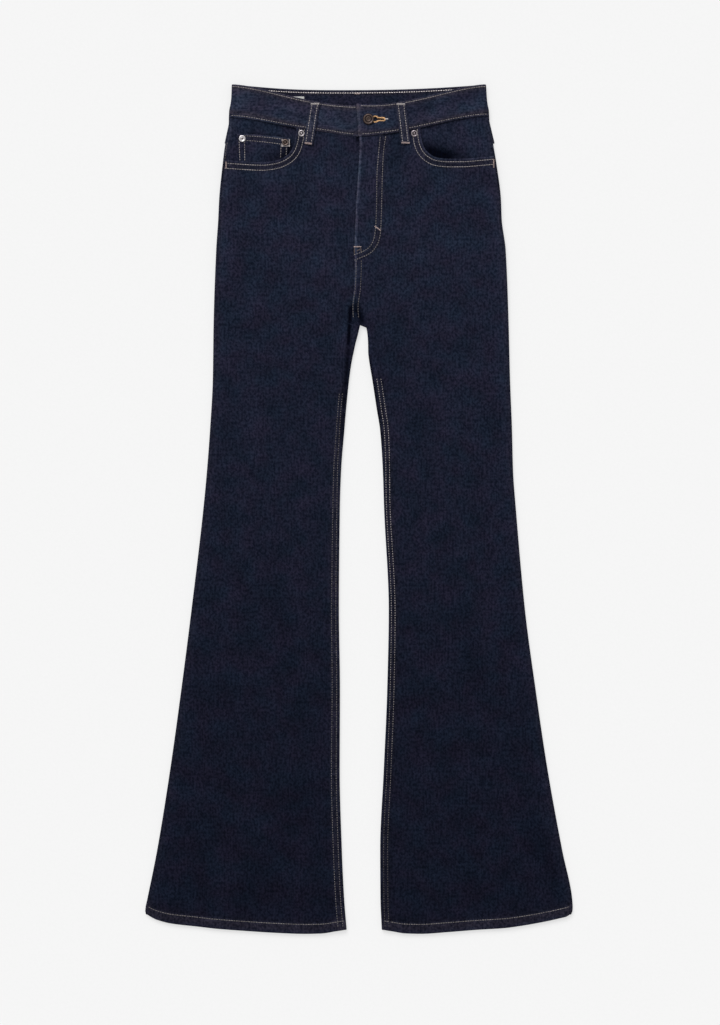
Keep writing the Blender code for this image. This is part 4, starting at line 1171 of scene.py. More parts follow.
def tack_between(start, end, level, up=1, width=TACK_WIDTH):
    """A bartack: close threads across the line from start to end, each second one leaning."""
    start, end = np.array(start, float), np.array(end, float)
    stops = along_path(np.stack([start, end]), TACK_PITCH)
    along = (end - start) / np.linalg.norm(end - start)
    across = np.array([-along[1], along[0]]) * width / 2
    lean = along * TACK_PITCH * TACK_LEAN
    reach = 1 + draws.uniform(-TACK_VARIES, TACK_VARIES, (len(stops), 1))
    return on_cloth(stops - across * reach - lean, stops + across * reach + lean, level, up)


def sew(name, runs, finish, tone, width=THREAD_WIDTH, height=THREAD_HEIGHT, foot_tone=None):
    """One mesh of all the given runs: the stitch form is stretched from each start to its end.

    The wear layer holds the tone of each stitch, which varies slowly along the garment and a little
    from one stitch to the next, and runs out to foot_tone towards the hem.
    """
    foot_tone = tone if foot_tone is None else foot_tone
    start = np.concatenate([run.start for run in runs])
    end = np.concatenate([run.end for run in runs])
    up = np.zeros_like(start)
    up[:, 2] = np.concatenate([run.up for run in runs])
    along = end - start
    across = np.cross(up, along)
    across /= np.linalg.norm(across, axis=1, keepdims=True)
    form, faces = stitch_form()
    places = ((start + end) / 2)[:, None] + along[:, None] * form[None, :, :1]
    places = places + across[:, None] * form[None, :, 1:2] * width + up[:, None] * form[None, :, 2:] * height
    shift = np.arange(len(start))[:, None] * len(form)
    joined = [corners for face in faces for corners in (np.array(face)[None] + shift).tolist()]
    length = np.linalg.norm(along, axis=1)[:, None]
    twist = np.stack([form[None, :, 0] * length + shift, form[None, :, 1] + 0 * length], axis=-1)
    slow = 1 + STITCH_TONE_DEPTH * ripple(start[:, 0] + 0.7 * start[:, 1], STITCH_TONE_WAVE, tone)
    tones = foot_tone + (tone - foot_tone) * ease(HEM_CORNER, 0.0, start[:, 1])
    tones = np.repeat(tones * slow * draws.uniform(*STITCH_TONES, len(start)), len(form))
    piece = mesh_object(name, places.reshape(-1, 3), joined, finish, twist.reshape(-1, 2), wear=tones)
    return dress(piece, "thread")


# Materials


finishes = {}


class Finish:
    """A new named material, with short calls for the nodes that feed its Principled shader."""

    def __init__(self, name):
        made = bpy.data.materials.new(name)
        made.use_nodes = True
        finishes[name] = made
        self.tree = made.node_tree

    def feed(self, node, inputs):
        """Links each input to a socket or sets it to a value."""
        for key, value in inputs.items():
            socket = node.inputs[key]
            if isinstance(value, bpy.types.NodeSocket):
                self.tree.links.new(value, socket)
            else:
                socket.default_value = (*value, 1) if socket.type == "RGBA" else value

    def shade(self, **inputs):
        """Feeds the shader; an underscore stands for the space in a socket's name."""
        shader = self.tree.nodes["Principled BSDF"]
        self.feed(shader, {key.replace("_", " "): value for key, value in inputs.items()})

    def node(self, kind, inputs, output=0, **settings):
        """One outcome of a new node, with its settings and inputs."""
        made = self.tree.nodes.new("ShaderNode" + kind)
        for name, value in settings.items():
            setattr(made, name, value)
        self.feed(made, inputs)
        return made.outputs[output]

    def cloth(self):
        return self.node("UVMap", {}, "UV", uv_map="cloth")

    def place(self):
        return self.node("TexCoord", {}, "Object")

    def layer(self, name):
        return self.node("Attribute", {}, "Fac", attribute_name=name)

    def add(self, *values):
        return self.node("Math", dict(enumerate(values)), operation="ADD")

    def times(self, *values):
        return self.node("Math", dict(enumerate(values)), operation="MULTIPLY")

    def tinted(self, first, second):
        return self.node("VectorMath", {0: first, 1: second}, operation="MULTIPLY")

    def scaled(self, colour, scale):
        return self.node("VectorMath", {0: colour, "Scale": scale}, operation="SCALE")

    def between(self, value, low, high, start=0.35, end=0.65):
        """A value from start to end drawn out to low and high."""
        inputs = {"Value": value, "From Min": start, "From Max": end, "To Min": low, "To Max": high}
        return self.node("MapRange", inputs, "Result")

    def blend(self, share, first, second, clamped=True):
        """A colour between two colours, or past them where it isn't clamped."""
        return self.node("Mix", {0: share, 6: first, 7: second}, 2, data_type="RGBA", clamp_factor=clamped)

    def stretched(self, vector, scale):
        return self.node("Mapping", {"Vector": vector, "Scale": scale}, "Vector")

    def noise(self, vector, scale, detail=2.0, roughness=0.5):
        inputs = {"Vector": vector, "Scale": scale, "Detail": detail, "Roughness": roughness}
        return self.node("TexNoise", inputs)

    def waves(self, direction, inputs):
        return self.node("TexWave", inputs, "Fac", wave_type="BANDS", bands_direction=direction)

    def bump(self, height, distance, strength):
        inputs = {"Height": height, "Distance": distance, "Strength": strength}
        self.shade(Normal=self.node("Bump", inputs, "Normal"))


def denim(name, turn=0.0):
    """Indigo twill: steep diagonal wales over slubby warp yarns, mottled, paler where worn, and painted with
    light and shade.

    The wear layer gives how pale the cloth is, from its real wear together with painted light and shade, and
    the pucker layer how much its seams have roped it.
    """
    made = Finish(name)
    cloth = made.cloth()
    if turn:
        cloth = made.node("Mapping", {"Vector": cloth, "Rotation": (0, 0, turn)})
    wales = made.waves("DIAGONAL", {"Vector": made.stretched(cloth, (1.0, -0.55, 1.0)), "Scale": 300.0,
                                    "Distortion": 2.0, "Detail": 1.0, "Detail Scale": 2.2})
    slub = made.noise(made.stretched(cloth, (1.0, 0.1, 1.0)), 480.0, 1.0)
    mottle = made.noise(made.stretched(cloth, (1.0, 0.85, 1.0)), 330.0, 1.0)
    cloud = made.noise(cloth, 30.0, 3.0, 0.6)
    hue = made.noise(cloth, 32.0, 2.0)
    pucker = made.layer("pucker")
    rope = made.noise(cloth, 170.0, 1.0)
    worn = made.add(made.layer("wear"), made.times(pucker, made.between(rope, -0.3, 0.3)))
    worn = made.node("Math", {0: worn, 1: -0.55}, operation="MAXIMUM")
    base = made.blend(worn, DENIM_DEEP, DENIM_PALE, clamped=False)
    # Past 1.2 the wear layer runs towards a pale rubbed colour, which also paints the highlights on folded
    # edges.
    base = made.blend(made.between(worn, 0.0, 1.0, 1.2, 4.2), base, DENIM_RUBBED_AND_HIGHLIGHT)
    tint = made.blend(made.between(hue, 0.0, 1.0), HUE_COOL, HUE_WARM)
    base = made.tinted(base, made.blend(pucker, tint, SEAM_TINT))
    grain = made.add(made.times(mottle, 0.7), made.times(slub, 0.3))
    grain = made.add(grain, made.between(wales, -0.02, 0.02, 0.0, 1.0))
    woven = made.blend(made.between(grain, 0.0, 1.0, 0.38, 0.62), GRAIN_SHADED, GRAIN_LIT)
    woven = made.scaled(woven, made.between(cloud, 0.83, 1.17))
    made.shade(Base_Color=made.tinted(base, woven), Roughness=made.between(mottle, 0.82, 0.96),
               Specular_IOR_Level=0.03, Sheen_Weight=0.012, Sheen_Roughness=0.45,
               Sheen_Tint=(0.6, 0.68, 0.9))
    yarns = made.add(wales, made.times(slub, 0.8))
    seams = made.times(made.times(pucker, rope), 3.0)
    made.bump(made.add(made.add(yarns, made.times(mottle, 1.5)), seams), 0.00025, 0.8)


def thread(name, colour):
    """Twisted sewing thread, with slanting ridges; the wear layer holds each stitch's tone."""
    made = Finish(name)
    ridges = made.waves("DIAGONAL", {"Vector": made.cloth(), "Scale": 700.0, "Distortion": 0.5})
    tone = made.times(made.layer("wear"), made.between(ridges, 0.75, 1.15, 0.0, 1.0))
    made.shade(Base_Color=made.scaled(colour, tone), Roughness=made.between(ridges, 0.75, 0.6, 0.0, 1.0),
               Specular_IOR_Level=0.15, Sheen_Weight=0.05)
    made.bump(ridges, 0.0001, 0.6)


def metal(name, colour, stain, roughness):
    """Plated metal, dulled in patches and stained where its wear layer is low, with fine brushing."""
    made = Finish(name)
    place = made.place()
    patches = made.noise(place, 420.0, 3.0, 0.6)
    brush = made.noise(made.stretched(place, (1.0, 6.0, 1.0)), 900.0, 2.0)
    clean = made.times(made.layer("wear"), made.between(patches, 1.0, 0.85))
    made.shade(Base_Color=made.blend(clean, stain, colour), Metallic=1.0,
               Roughness=made.between(patches, roughness - 0.08, roughness + 0.16))
    made.bump(brush, 0.00005, 0.4)


def tape():
    """Plain woven white tape with a fine rib."""
    made = Finish("tape")
    cloth = made.cloth()
    ribs = made.waves("Y", {"Vector": cloth, "Scale": 420.0, "Distortion": 0.4})
    soft = made.noise(cloth, 300.0, 2.0)
    share = made.times(ribs, made.between(soft, 0.3, 1.0))
    made.shade(Base_Color=made.blend(share, (0.46, 0.46, 0.45), (0.6, 0.6, 0.585)),
               Roughness=made.between(soft, 0.7, 0.85))
    made.bump(ribs, 0.0001, 0.5)


def paper_floor():
    """Pale even board with the faintest tooth, lit through from below so that it takes little shade."""
    made = Finish("paper_floor")
    share = made.between(made.noise(made.place(), 300.0, 2.0), 0.0, 1.0)
    made.shade(Base_Color=made.blend(share, (0.295, 0.295, 0.295), (0.305, 0.305, 0.305)),
               Emission_Color=(1, 1, 1), Emission_Strength=FLOOR_GLOW, Roughness=1.0, Specular_IOR_Level=0.0)


def make_finishes():
    denim("denim")
    denim("denim_across", turn=math.pi / 2)
    for name, colour in THREADS.items():
        thread(name, colour)
    for row in METALS:
        metal(*row)
    tape()
    paper_floor()


# Wear, painted light and shade, and puckering over the pieces


# Paleness down the garment: partly the denim's real fade and partly a painted fall of light from the waist
# end.
def fade_and_painted_falloff(y):
    return read_table(FADES_AND_PAINTED_FALLOFF, "share", y)


def even(share, x, y):
    """The same share all over."""
    return share + 0 * x


def plain_wear_and_painted_falloff(more, x, y):
    return fade_and_painted_falloff(y) + more


def body_wear_and_painted_light(side, x, y):
    """The fade and painted fall of light down the leg, with a paler hem and inseam, and a side seam that is
    paler from wear and painted sheen.
    """
    # Paler beside the side seam: partly rubbed, partly painted sheen where the cloth rounds away.
    rubbed_and_sheen = mark("side_seam_wear", beside_side_seam(side, x, y))
    hem = HEM_WEAR * in_hem(above_hem(side, x, y), 0.8)
    outer = inseam_offsets(side, y)[1]
    seam = INSEAM_WEAR[side] * plateau(beside_inseam(side, x, y), -1.0, 2.0, outer, outer + 4.0)
    shown = 1 - ease(INSEAM_SHOWN[side] - 60, INSEAM_SHOWN[side] + 20, y)
    return fade_and_painted_falloff(y) + rubbed_and_sheen + hem + seam * shown


def front_wear_and_painted_light(side, x, y):
    """Body wear and painted light: a pale pocket edge, partly a painted highlight; a painted shadow under the
    band; the folds' painted shade and light; and, on the left, a pale fly edge, partly a painted highlight."""
    # Pale pocket edge: partly rubbed, partly a painted highlight on the fold.
    edge = mark("pocket_edge_wear", away_from(pocket_path(side), x, y))
    # Painted shadow under the waistband.
    painted_band_shadow = mark("below_band_wear", y - front_band_seam(x))
    # The folds' tones paint shade in their valleys and light on their crests.
    total = body_wear_and_painted_light(side, x, y) + edge + painted_band_shadow + folds(FRONT_FOLDS, x, y, "tone")
    if side == "right":
        return total
    # Pale fly edge: partly rubbed, partly a painted highlight on the fold.
    fly_fold_wear_and_highlight = (1 + 0.25 * ripple(y, 19.0, 2.0)) * mark("fly_edge_wear", beside_centre(x, y))
    panel = FLY_WEAR * (1 - ease(24.0, 34.0, x)) * ease(340.0, 352.0, y)
    return total + ease(250.0, 300.0, y) * fly_fold_wear_and_highlight + panel


def facing_wear_and_painted_shadow(side, x, y):
    """The hip's fade and painted fall of light, with painted shadow in the mouth of the pocket, below the
    waistband and, on the right, above the coin pocket.
    """
    # Painted shadow under the waistband.
    painted_band_shadow = mark("facing_below_band_wear", y - front_band_seam(x))
    # shade paints a shadow into the mouth of the pocket.
    total = fade_and_painted_falloff(y) + FACING_WEAR - GAPES[side].shade * mouth(side, x, y) + painted_band_shadow
    if side == "left":
        return total
    seam = mark("facing_seam_wear", beside_side_seam(side, x, y))
    # Painted shadow above the coin pocket's top edge.
    above_coin_shadow_span = plateau(across_coin(x), 0.1, 0.3, 0.8, 1.0)
    return total + seam + above_coin_shadow_span * mark("above_coin_wear", y - coin_top(x))


def coin_wear_and_painted_light(x, y):
    """The hip's fade and painted fall of light, with a top edge that is rubbed and painted with a highlight,
    and painted shadow towards the mouth of the pocket.
    """
    # Pale top edge: partly rubbed, partly a painted highlight on the fold.
    edge = mark("coin_edge_wear", coin_top(x) - y)
    return fade_and_painted_falloff(y) + COIN_WEAR + edge - COIN_SHADE * mouth("right", x, y)


def band_wear_and_painted_light(waist, end_x, x, y):
    """The hip's fade and painted fall of light, paler along the top edge and the tab's end from wear and a
    painted highlight, with the folds' painted shade and light.
    """
    down = waist(x) - y
    # A pale top edge: partly rubbed, partly a painted highlight on the fold.
    total = fade_and_painted_falloff(y) + mark("band_top_wear", down) + mark("band_foot_wear", BAND_HEIGHT - down)
    if waist is front_waist:
        # The band's folds paint shade in their creases and light on their crests.
        total = total + BAND_WEAR + RIGHT_BAND_WEAR * (x < 0) + folds(BAND_FOLDS, x, y, "tone")
    if end_x is not None:
        # A pale tab end: partly rubbed, partly a painted highlight on its folded edge.
        total = total + mark("tab_end_wear", x - end_x - BAND_END_SLANT * down)
    return total


def band_pucker(waist, x, y):
    down = waist(x) - y
    return np.clip(mark("band_pucker", down) + mark("band_pucker", BAND_HEIGHT - down), 0, 1)


def body_pucker(side, x, y):
    """Roping along the hem, the inseam and the side seam."""
    hem = mark("hem_pucker", above_hem(side, x, y))
    inseam = mark("inseam_pucker", beside_inseam(side, x, y)) * (1 - ease(150.0, 200.0, y))
    return np.clip(hem + inseam + mark("side_seam_pucker", beside_side_seam(side, x, y)), 0, 1)


def front_pucker(side, x, y):
    """Body puckering, and roping along the pocket's stitches and the fly's."""
    total = body_pucker(side, x, y) + mark("pocket_pucker", away_from(pocket_path(side), x, y))
    if side == "left":
        fly = mark("fly_pucker", x - read_table(FLY_LINES[1], "x", y))
        total = total + fly * ease(330.0, 345.0, y)
    return np.clip(total, 0, 1)


# Pieces


def side_edge(side, y):
    return np.column_stack([read_table(SIDE_SEAMS, side, y), y])


def inner_edge(side, seam, y):
    """The inner edge of a leg and of the hip above it: the centre seam, then the inseam."""
    x = np.where(y > CROTCH[1], read_table(seam, "x", y), read_table(INSEAMS, side, y))
    return np.column_stack([x, y])


def rows_down(top, shares, foot):
    """y of every row along a side edge, at the shares of the hip and then of the leg."""
    hip = top + (CROTCH[1] - top) * shares[0]
    leg = CROTCH[1] + (foot - CROTCH[1]) * shares[1]
    return np.concatenate([hip, leg[1:]])


def leg_grid(side, seam, top, level, up, across, shares, underlap=0.0):
    """A front or back panel: a hip patch above a leg patch, joined at the crotch line.

    top gives the upper edge between two x. The outer border is bent all the way down. The inner one
    is plain along the centre seam and turns over below the crotch.
    """
    sign = SIGN[side]
    outer_start, inner_start = top(side, across)[[0, -1], 1]
    outer_y = rows_down(outer_start, shares, hem_y(side, 0.0))
    inner_y = rows_down(inner_start, shares, hem_y(side, 1.0))
    outer = border(side_edge(side, outer_y), -sign, 1, PANEL_BEND)
    edge = inner_edge(side, seam, inner_y)
    edge[:, 0] += underlap * ease(FLY_END - FLY_UNDERLAP_RUNS_OUT, FLY_END, inner_y)
    centred = ease(CROTCH[1] - CENTRE_GAP_RUNS_OUT, CROTCH[1], inner_y)
    turn = 1 - ease(CROTCH[1] - INSEAM_TURN_LENGTH, CROTCH[1], inner_y)
    inner = border(apart(edge, sign, SEAM_GAP / 2 * centred), sign, turn, PANEL_BEND)
    row = len(shares[0]) - 1
    start, end = flat_edge(outer), flat_edge(inner)
    crotch_line = start[row] * (1 - across)[:, None] + end[row] * across[:, None]
    upper = top(side, across, start[0, 0], end[0, 0])
    hip = patch(upper, crotch_line, start[: row + 1], end[: row + 1], across, shares[0])
    leg = patch(crotch_line, hem_line(side, across), start[row:], end[row:], across, shares[1])
    return sheet(np.concatenate([hip, leg[1:]]), level, up, outer, inner)


def leg_thickness(side, grid):
    """The cloth's thickness, with the hem's fold added along the foot of a panel."""
    return CLOTH + HEM_FOLD * in_hem(above_hem(side, grid.points[..., 0], grid.points[..., 1]))


def front_top(side, across, start_x=None, end_x=None):
    """The front's upper edge: the pocket's open edge, then a line tucked under the waistband."""
    pocket = path_through(POCKET_EDGES[side], across[across <= POCKET_SHARE] / POCKET_SHARE)
    at_band = (across[across > POCKET_SHARE] - POCKET_SHARE) / (1 - POCKET_SHARE)
    if start_x is None:
        start_x, end_x = pocket[0, 0], read_table(CENTRE_FRONT, "x", front_band_seam(0))
    pocket[0, 0] = start_x
    pocket[-1, 1] = front_band_seam(pocket[-1, 0]) + BAND_TUCK
    x = pocket[-1, 0] + (end_x - pocket[-1, 0]) * at_band
    return np.concatenate([pocket, np.column_stack([x, front_band_seam(x) + BAND_TUCK])])


def front_panel(side):
    underlap = FLY_UNDERLAP if side == "right" else 0.0
    grid = leg_grid(side, CENTRE_FRONT, front_top, partial(front_level, side), 1, FRONT_ACROSS,
                    FRONT_DOWN, underlap)
    cloth_piece(side + "_front_cloth", "front_" + side, grid,
                partial(front_wear_and_painted_light, side), partial(front_pucker, side), leg_thickness(side, grid))


def seam_across(side, across, seam, start_x=None, end_x=0.0):
    """A seam from the side to the centre back, as (x, seam(x)) rows."""
    if start_x is None:
        start_x = float(read_table(SIDE_SEAMS, side, WAIST_TOP - BAND_HEIGHT))
    x = start_x + (end_x - start_x) * across
    return np.column_stack([x, seam(x)])


def back_top(side, across, *ends):
    return seam_across(side, across, lambda x: yoke_seam(x) - SEAM_GAP / 2, *ends)


def back_panel(side):
    grid = leg_grid(side, CENTRE_BACK, back_top, partial(underside, side), -1, BACK_ACROSS, BACK_DOWN)
    cloth_piece(side + "_back_cloth", "back_" + side, grid, partial(body_wear_and_painted_light, side),
                partial(body_pucker, side), leg_thickness(side, grid))


def yoke(side):
    """The yoke between the back waistband and the back panel, tucked under the waistband."""
    sign = SIGN[side]
    down = np.linspace(0, 1, 32)
    seams = (lambda x: back_band_seam(x) + BAND_TUCK, lambda x: yoke_seam(x) + SEAM_GAP / 2)
    high, low = [seam_across(side, BACK_ACROSS, seam)[[0, -1], 1] for seam in seams]
    outer_y, inner_y = across_between(high, low, down).T
    outer = border(side_edge(side, outer_y), -sign, 1, PANEL_BEND)
    centre = np.column_stack([read_table(CENTRE_BACK, "x", inner_y), inner_y])
    inner = border(apart(centre, sign, SEAM_GAP / 2), sign, 0, PANEL_BEND)
    start, end = flat_edge(outer), flat_edge(inner)
    high, low = [seam_across(side, BACK_ACROSS, seam, start[row, 0], end[row, 0])
                 for seam, row in zip(seams, (0, -1))]
    grid = sheet(patch(high, low, start, end, BACK_ACROSS, down), yoke_level, -1, outer, inner)
    cloth_piece(side + "_yoke_cloth", "yoke_" + side, grid, partial(plain_wear_and_painted_falloff, 0),
                lambda x, y: mark("yoke_pucker", y - yoke_seam(x)), finish="denim_across")


def patch_pocket_point(side, u, v, inset=0.0):
    """Place of (u, v) on a back pocket, whose foot is a shallow V, with its edges set in by inset."""
    sign = SIGN[side]
    half = (PATCH_WIDTH + (PATCH_FOOT_WIDTH - PATCH_WIDTH) * v) / 2 - inset
    foot = PATCH_HEIGHT - (PATCH_HEIGHT - PATCH_SIDE_HEIGHT) * np.abs(u) - 2 * inset
    x = u * half
    y = PATCH_HEIGHT / 2 - inset - v * foot
    turned_x = x * math.cos(PATCH_TILT) - sign * y * math.sin(PATCH_TILT)
    turned_y = sign * x * math.sin(PATCH_TILT) + y * math.cos(PATCH_TILT)
    return np.stack([turned_x + sign * PATCH_CENTRE[0], turned_y + PATCH_CENTRE[1]], axis=-1)


def back_pocket(side):
    """A five-sided patch pocket that lies flat under the seat."""
    flat = patch_pocket_point(side, *np.meshgrid(np.linspace(-1, 1, 61), np.linspace(0, 1, 57)))
    cloth_piece(side + "_back_pocket_cloth", "back_pocket_" + side, sheet(flat, patch_pocket_level, -1),
                partial(plain_wear_and_painted_falloff, 0), partial(even, 0.3))


def pocket_facing(side):
    """The piece seen in a pocket's opening. It runs on under the front, past the open edge."""
    sign = SIGN[side]
    across = np.linspace(0, 1, 60)
    down = np.linspace(0, 1, 36)
    past_edge = ease(*FACING_UNDER_FROM, across)[:, None]
    low = path_through(POCKET_EDGES[side], across)
    low = low + past_edge * np.array([-sign * FACING_UNDER[0], FACING_UNDER[1]])
    low[0, 1] += SEAM_GAP
    top_y = front_band_seam(sign * WAIST_HALF) - BAND_SEAM_GAP
    outer = border(side_edge(side, top_y + (low[0, 1] - top_y) * down), -sign, 1, PANEL_BEND)
    start = flat_edge(outer)
    x = start[0, 0] + (low[-1, 0] - start[0, 0]) * across
    tucked = BAND_TUCK * ease(0.0, 0.04, across)
    high = np.column_stack([x, front_band_seam(x) - BAND_SEAM_GAP + tucked])
    low[0, 0] = start[-1, 0]
    inner = across_between(high[-1], low[-1], down)
    flat = patch(high, low, start, inner, across, down)
    cloth_piece(side + "_facing_cloth", "pocket_facing_" + side,
                sheet(flat, partial(facing_level, side), 1, outer),
                partial(facing_wear_and_painted_shadow, side),
                lambda x, y: mark("facing_pucker", beside_side_seam(side, x, y)))


def coin_pocket():
    """A small patch on the right facing, with its foot under the front."""
    across = np.linspace(0, 1, 52)
    top = path_through(COIN_TOP, across)
    top[:, 1] = coin_top(top[:, 0])
    flat = top[None] + (path_through(COIN_FOOT, across) - top)[None] * COIN_DOWN[:, None, None]
    cloth_piece("coin_pocket_cloth", "coin_pocket", sheet(flat, coin_level), coin_wear_and_painted_light,
                lambda x, y: mark("coin_pucker", coin_top(x) - y))


def tab_top(x):
    """y of the left half's top edge, which rises a little towards the end of the tab."""
    start_x = SIDE_SEAMS[0].left - BAND_BEND
    share = np.clip((start_x - x) / (start_x - TAB_END), 0, 1)
    return front_waist(x) + TAB_RISE * share**TAB_RISE_POWER


def band_border(side, inward_side):
    """The bent end of the waistband at a side seam."""
    y = WAIST_TOP - band_height(SIGN[side] * WAIST_HALF) * BAND_DOWN
    return border(side_edge(side, y), inward_side, 1, BAND_BEND)


def band_grid(outer_side, inner_x, waist, level, up, rise):
    """Part of the waistband from a side seam to inner_x, or to the other side seam when None."""
    sign = SIGN[outer_side]
    outer = band_border(outer_side, -sign)
    if inner_x is None:
        across = WHOLE_BAND_ACROSS
        inner = band_border("right" if outer_side == "left" else "left", sign)
        end = flat_edge(inner)
    else:
        across = BAND_ACROSS
        inner = None
        end_x = inner_x + BAND_END_SLANT * BAND_HEIGHT * BAND_DOWN
        end_y = waist(end_x) - EDGE_ROUND + rise * (1 - BAND_DOWN) - band_height(inner_x) * BAND_DOWN
        end = np.column_stack([end_x, end_y])
    start = flat_edge(outer)
    top_x, foot_x = [start[row, 0] + (end[row, 0] - start[row, 0]) * across for row in (0, -1)]
    top = np.column_stack([top_x, waist(top_x) - EDGE_ROUND + rise * across**TAB_RISE_POWER])
    foot = np.column_stack([foot_x, waist(foot_x) - band_height(foot_x)])
    return sheet(patch(top, foot, start, end, across, BAND_DOWN), level, up, outer, inner,
                 lambda y: BAND_SEAM_LEVEL)


def waistband_part(name, grid, waist, end_x=None, thickness=BAND_CLOTH):
    return cloth_piece(name + "_waistband_cloth", "waistband_" + name, grid,
                       partial(band_wear_and_painted_light, waist, end_x), partial(band_pucker, waist), thickness,
                       "denim_across")


def waistband():
    """The back of the waistband and its two front halves, of which the left one is given back."""
    back = band_grid("left", None, back_waist, back_band_level, -1, 0)
    right = band_grid("right", BAND_UNDERLAP_END, front_waist, partial(band_level, "right"), 1, 0)
    left = band_grid("left", TAB_END, front_waist, partial(band_level, "left"), 1, TAB_RISE)
    thickness = back_band_thickness(back.points[..., 0], back.points[..., 1])
    waistband_part("back", back, back_waist, None, thickness)
    waistband_part("right", right, front_waist)
    return waistband_part("left", left, front_waist, TAB_END)


def slot_cutter(outline):
    """A closed prism through the tab, from an (x, y) outline that runs anticlockwise."""
    count = len(outline)
    middle = float(band_level("left", *np.array(BUTTON_PLACE)))
    rims = [np.column_stack([outline, np.full(count, middle + side * CUT_DEPTH / 2)]) for side in (-1, 1)]
    sides = [[k, (k + 1) % count, count + (k + 1) % count, count + k] for k in range(count)]
    faces = sides + [list(range(count))[::-1], [count + k for k in range(count)]]
    return mesh_object("slot", np.concatenate(rims), faces, "denim_across")


def keyhole_outline(grow=0.0):
    """The slit and its round eye: a bar with a disc at the end nearer the button."""
    y = BUTTON_PLACE[1]
    radius = EYE_RADIUS + grow
    half = SLIT_WIDTH / 2 + grow
    open_angle = math.asin(half / radius)
    turn = np.linspace(open_angle, 2 * math.pi - open_angle, 26)
    eye = np.column_stack([EYE_X + radius * np.cos(turn), y + radius * np.sin(turn)])
    tip = np.linspace(-math.pi / 2, math.pi / 2, 7)
    end = np.column_stack([SLIT_END + half * np.cos(tip), y + half * np.sin(tip)])
    return np.concatenate([eye, end])


def cut_buttonhole(tab):
    """Cuts the keyhole, and the slot from it to the button's post, through the tab."""
    x, y = BUTTON_PLACE
    start, half = x - POST_REACH, SLIT_WIDTH / 2
    slot = np.array([[start, y - half], [EYE_X, y - half], [EYE_X, y + half], [start, y + half]])
    for outline in (keyhole_outline(), slot):
        cutter = slot_cutter(outline)
        cut = tab.modifiers.new("cut", "BOOLEAN")
        cut.operation = "DIFFERENCE"
        cut.object = cutter
        with bpy.context.temp_override(object=tab, active_object=tab):
            bpy.ops.object.modifier_apply(modifier=cut.name)
        bpy.data.objects.remove(cutter, do_unlink=True)


def loop_axis(loop, shares):
    top = np.array([loop.top_x, loop.top_y])
    return across_between(top, np.array([loop.foot_x, loop.foot_y]), shares)


def belt_loop(loop, level, up):
    """A folded strap, whose rows are square to its length."""
    across = np.linspace(-0.5, 0.5, 15) * LOOP_WIDTH
    slant = (loop.foot_x - loop.top_x) / (loop.foot_y - loop.top_y)
    row = np.column_stack([across, -slant * across])
    flat = loop_axis(loop, LOOP_DOWN)[:, None] + row[None]
    name = "belt_loop_" + loop.name
    cloth_piece(name + "_cloth", name, sheet(flat, partial(level, loop), up),
                partial(plain_wear_and_painted_falloff, LOOP_WEAR), partial(even, 0.5))


def turned_metal(name, node, top_rows, foot_rows, finish, slot_name, steps):
    """A button or rivet on its solid's place, from depths below its top and heights above its foot."""
    low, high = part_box(node)
    place = ((low.x + high.x) / 2 / MM, (low.y + high.y) / 2 / MM)
    profile = [(radius, high.z / MM - depth, wear) for radius, depth, wear in top_rows]
    profile += [(radius, low.z / MM + height, wear) for radius, height, wear in foot_rows]
    dress(turned(name, profile, place, finish, steps), slot_name, node)


def metalwork():
    """A shank button, and rivets that are a rolled ring round a groove and a small nub."""
    turned_metal("shank_button", "button", BUTTON_TOP, BUTTON_FOOT, "bronze", "button_bronze", 64)
    for name, finish, groove, nub in RIVETS:
        rows = [(*row, nub) for row in RIVET_NUB] + [(1.15, 0.7, 0.1)]
        rows += [(*row, groove) for row in RIVET_GROOVE] + [(2.45, 0.6, 0.2 + groove), *RIVET_RING]
        turned_metal(name + "_rivet", "rivet_" + name, rows, RIVET_FOOT, finish, "rivet_nickel", 32)


def label():
    """A blank tape sewn to the inside of the back waistband, curling a little off it."""
    low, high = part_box("label")
    x = np.linspace(low.x, high.x, 25) / MM
    y = np.linspace(high.y, low.y, 15) / MM
    grid = sheet(np.stack(np.meshgrid(x, y), axis=-1), lambda x, y: high.z / MM + 0.12 * ripple(x, 21.0, 1.0))
    cloth_piece("tape_label", "label", grid, partial(even, 0), partial(even, 0),
                LABEL_CLOTH, "tape", "white_tape")


# Lines of stitches


def level_path(span, y_of, points=160):
    """A line across the garment from one x to another, as (x, y_of(x)) rows."""
    x = np.linspace(*span, points)
    return np.column_stack([x, y_of(x)])


def seam_path(seam, column, first, last, beside, points):
    """A line beside a seam from one y to another."""
    y = np.linspace(first, last, points)
    return np.column_stack([read_table(seam, column, y) + beside, y])


def band_runs():
    """Stitches along both edges of the waistband: the front, up to the end of the tab, and the back."""
    top, foot = BAND_LINES
    right, left = partial(band_level, "right"), partial(band_level, "left")
    return [run_along(level_path(BAND_SPANS[name], y_of, points), level, up, length)
            for name, y_of, points, level, up, length in (
                ("right_top", lambda x: front_waist(x) - top, 160, right, 1, CLOSE_STITCH),
                ("right_foot", lambda x: front_band_seam(x) + foot, 160, right, 1, STITCH_LENGTH),
                ("left_top", lambda x: tab_top(x) - top, 160, left, 1, CLOSE_STITCH),
                ("left_foot", lambda x: front_band_seam(x) + foot, 160, left, 1, STITCH_LENGTH),
                ("back_top", lambda x: back_waist(x) - top, 300, back_band_level, -1, STITCH_LENGTH),
                ("back_foot", lambda x: back_band_seam(x) + foot, 300, back_band_level, -1, STITCH_LENGTH))]


def inner_band_runs():
    """The back waistband's top line again, on the face that is seen inside the waist."""
    line = level_path(BAND_SPANS["back_top"], lambda x: back_waist(x) - INNER_BAND_LINE, 300)
    return [run_along(line, inside_band_level)]


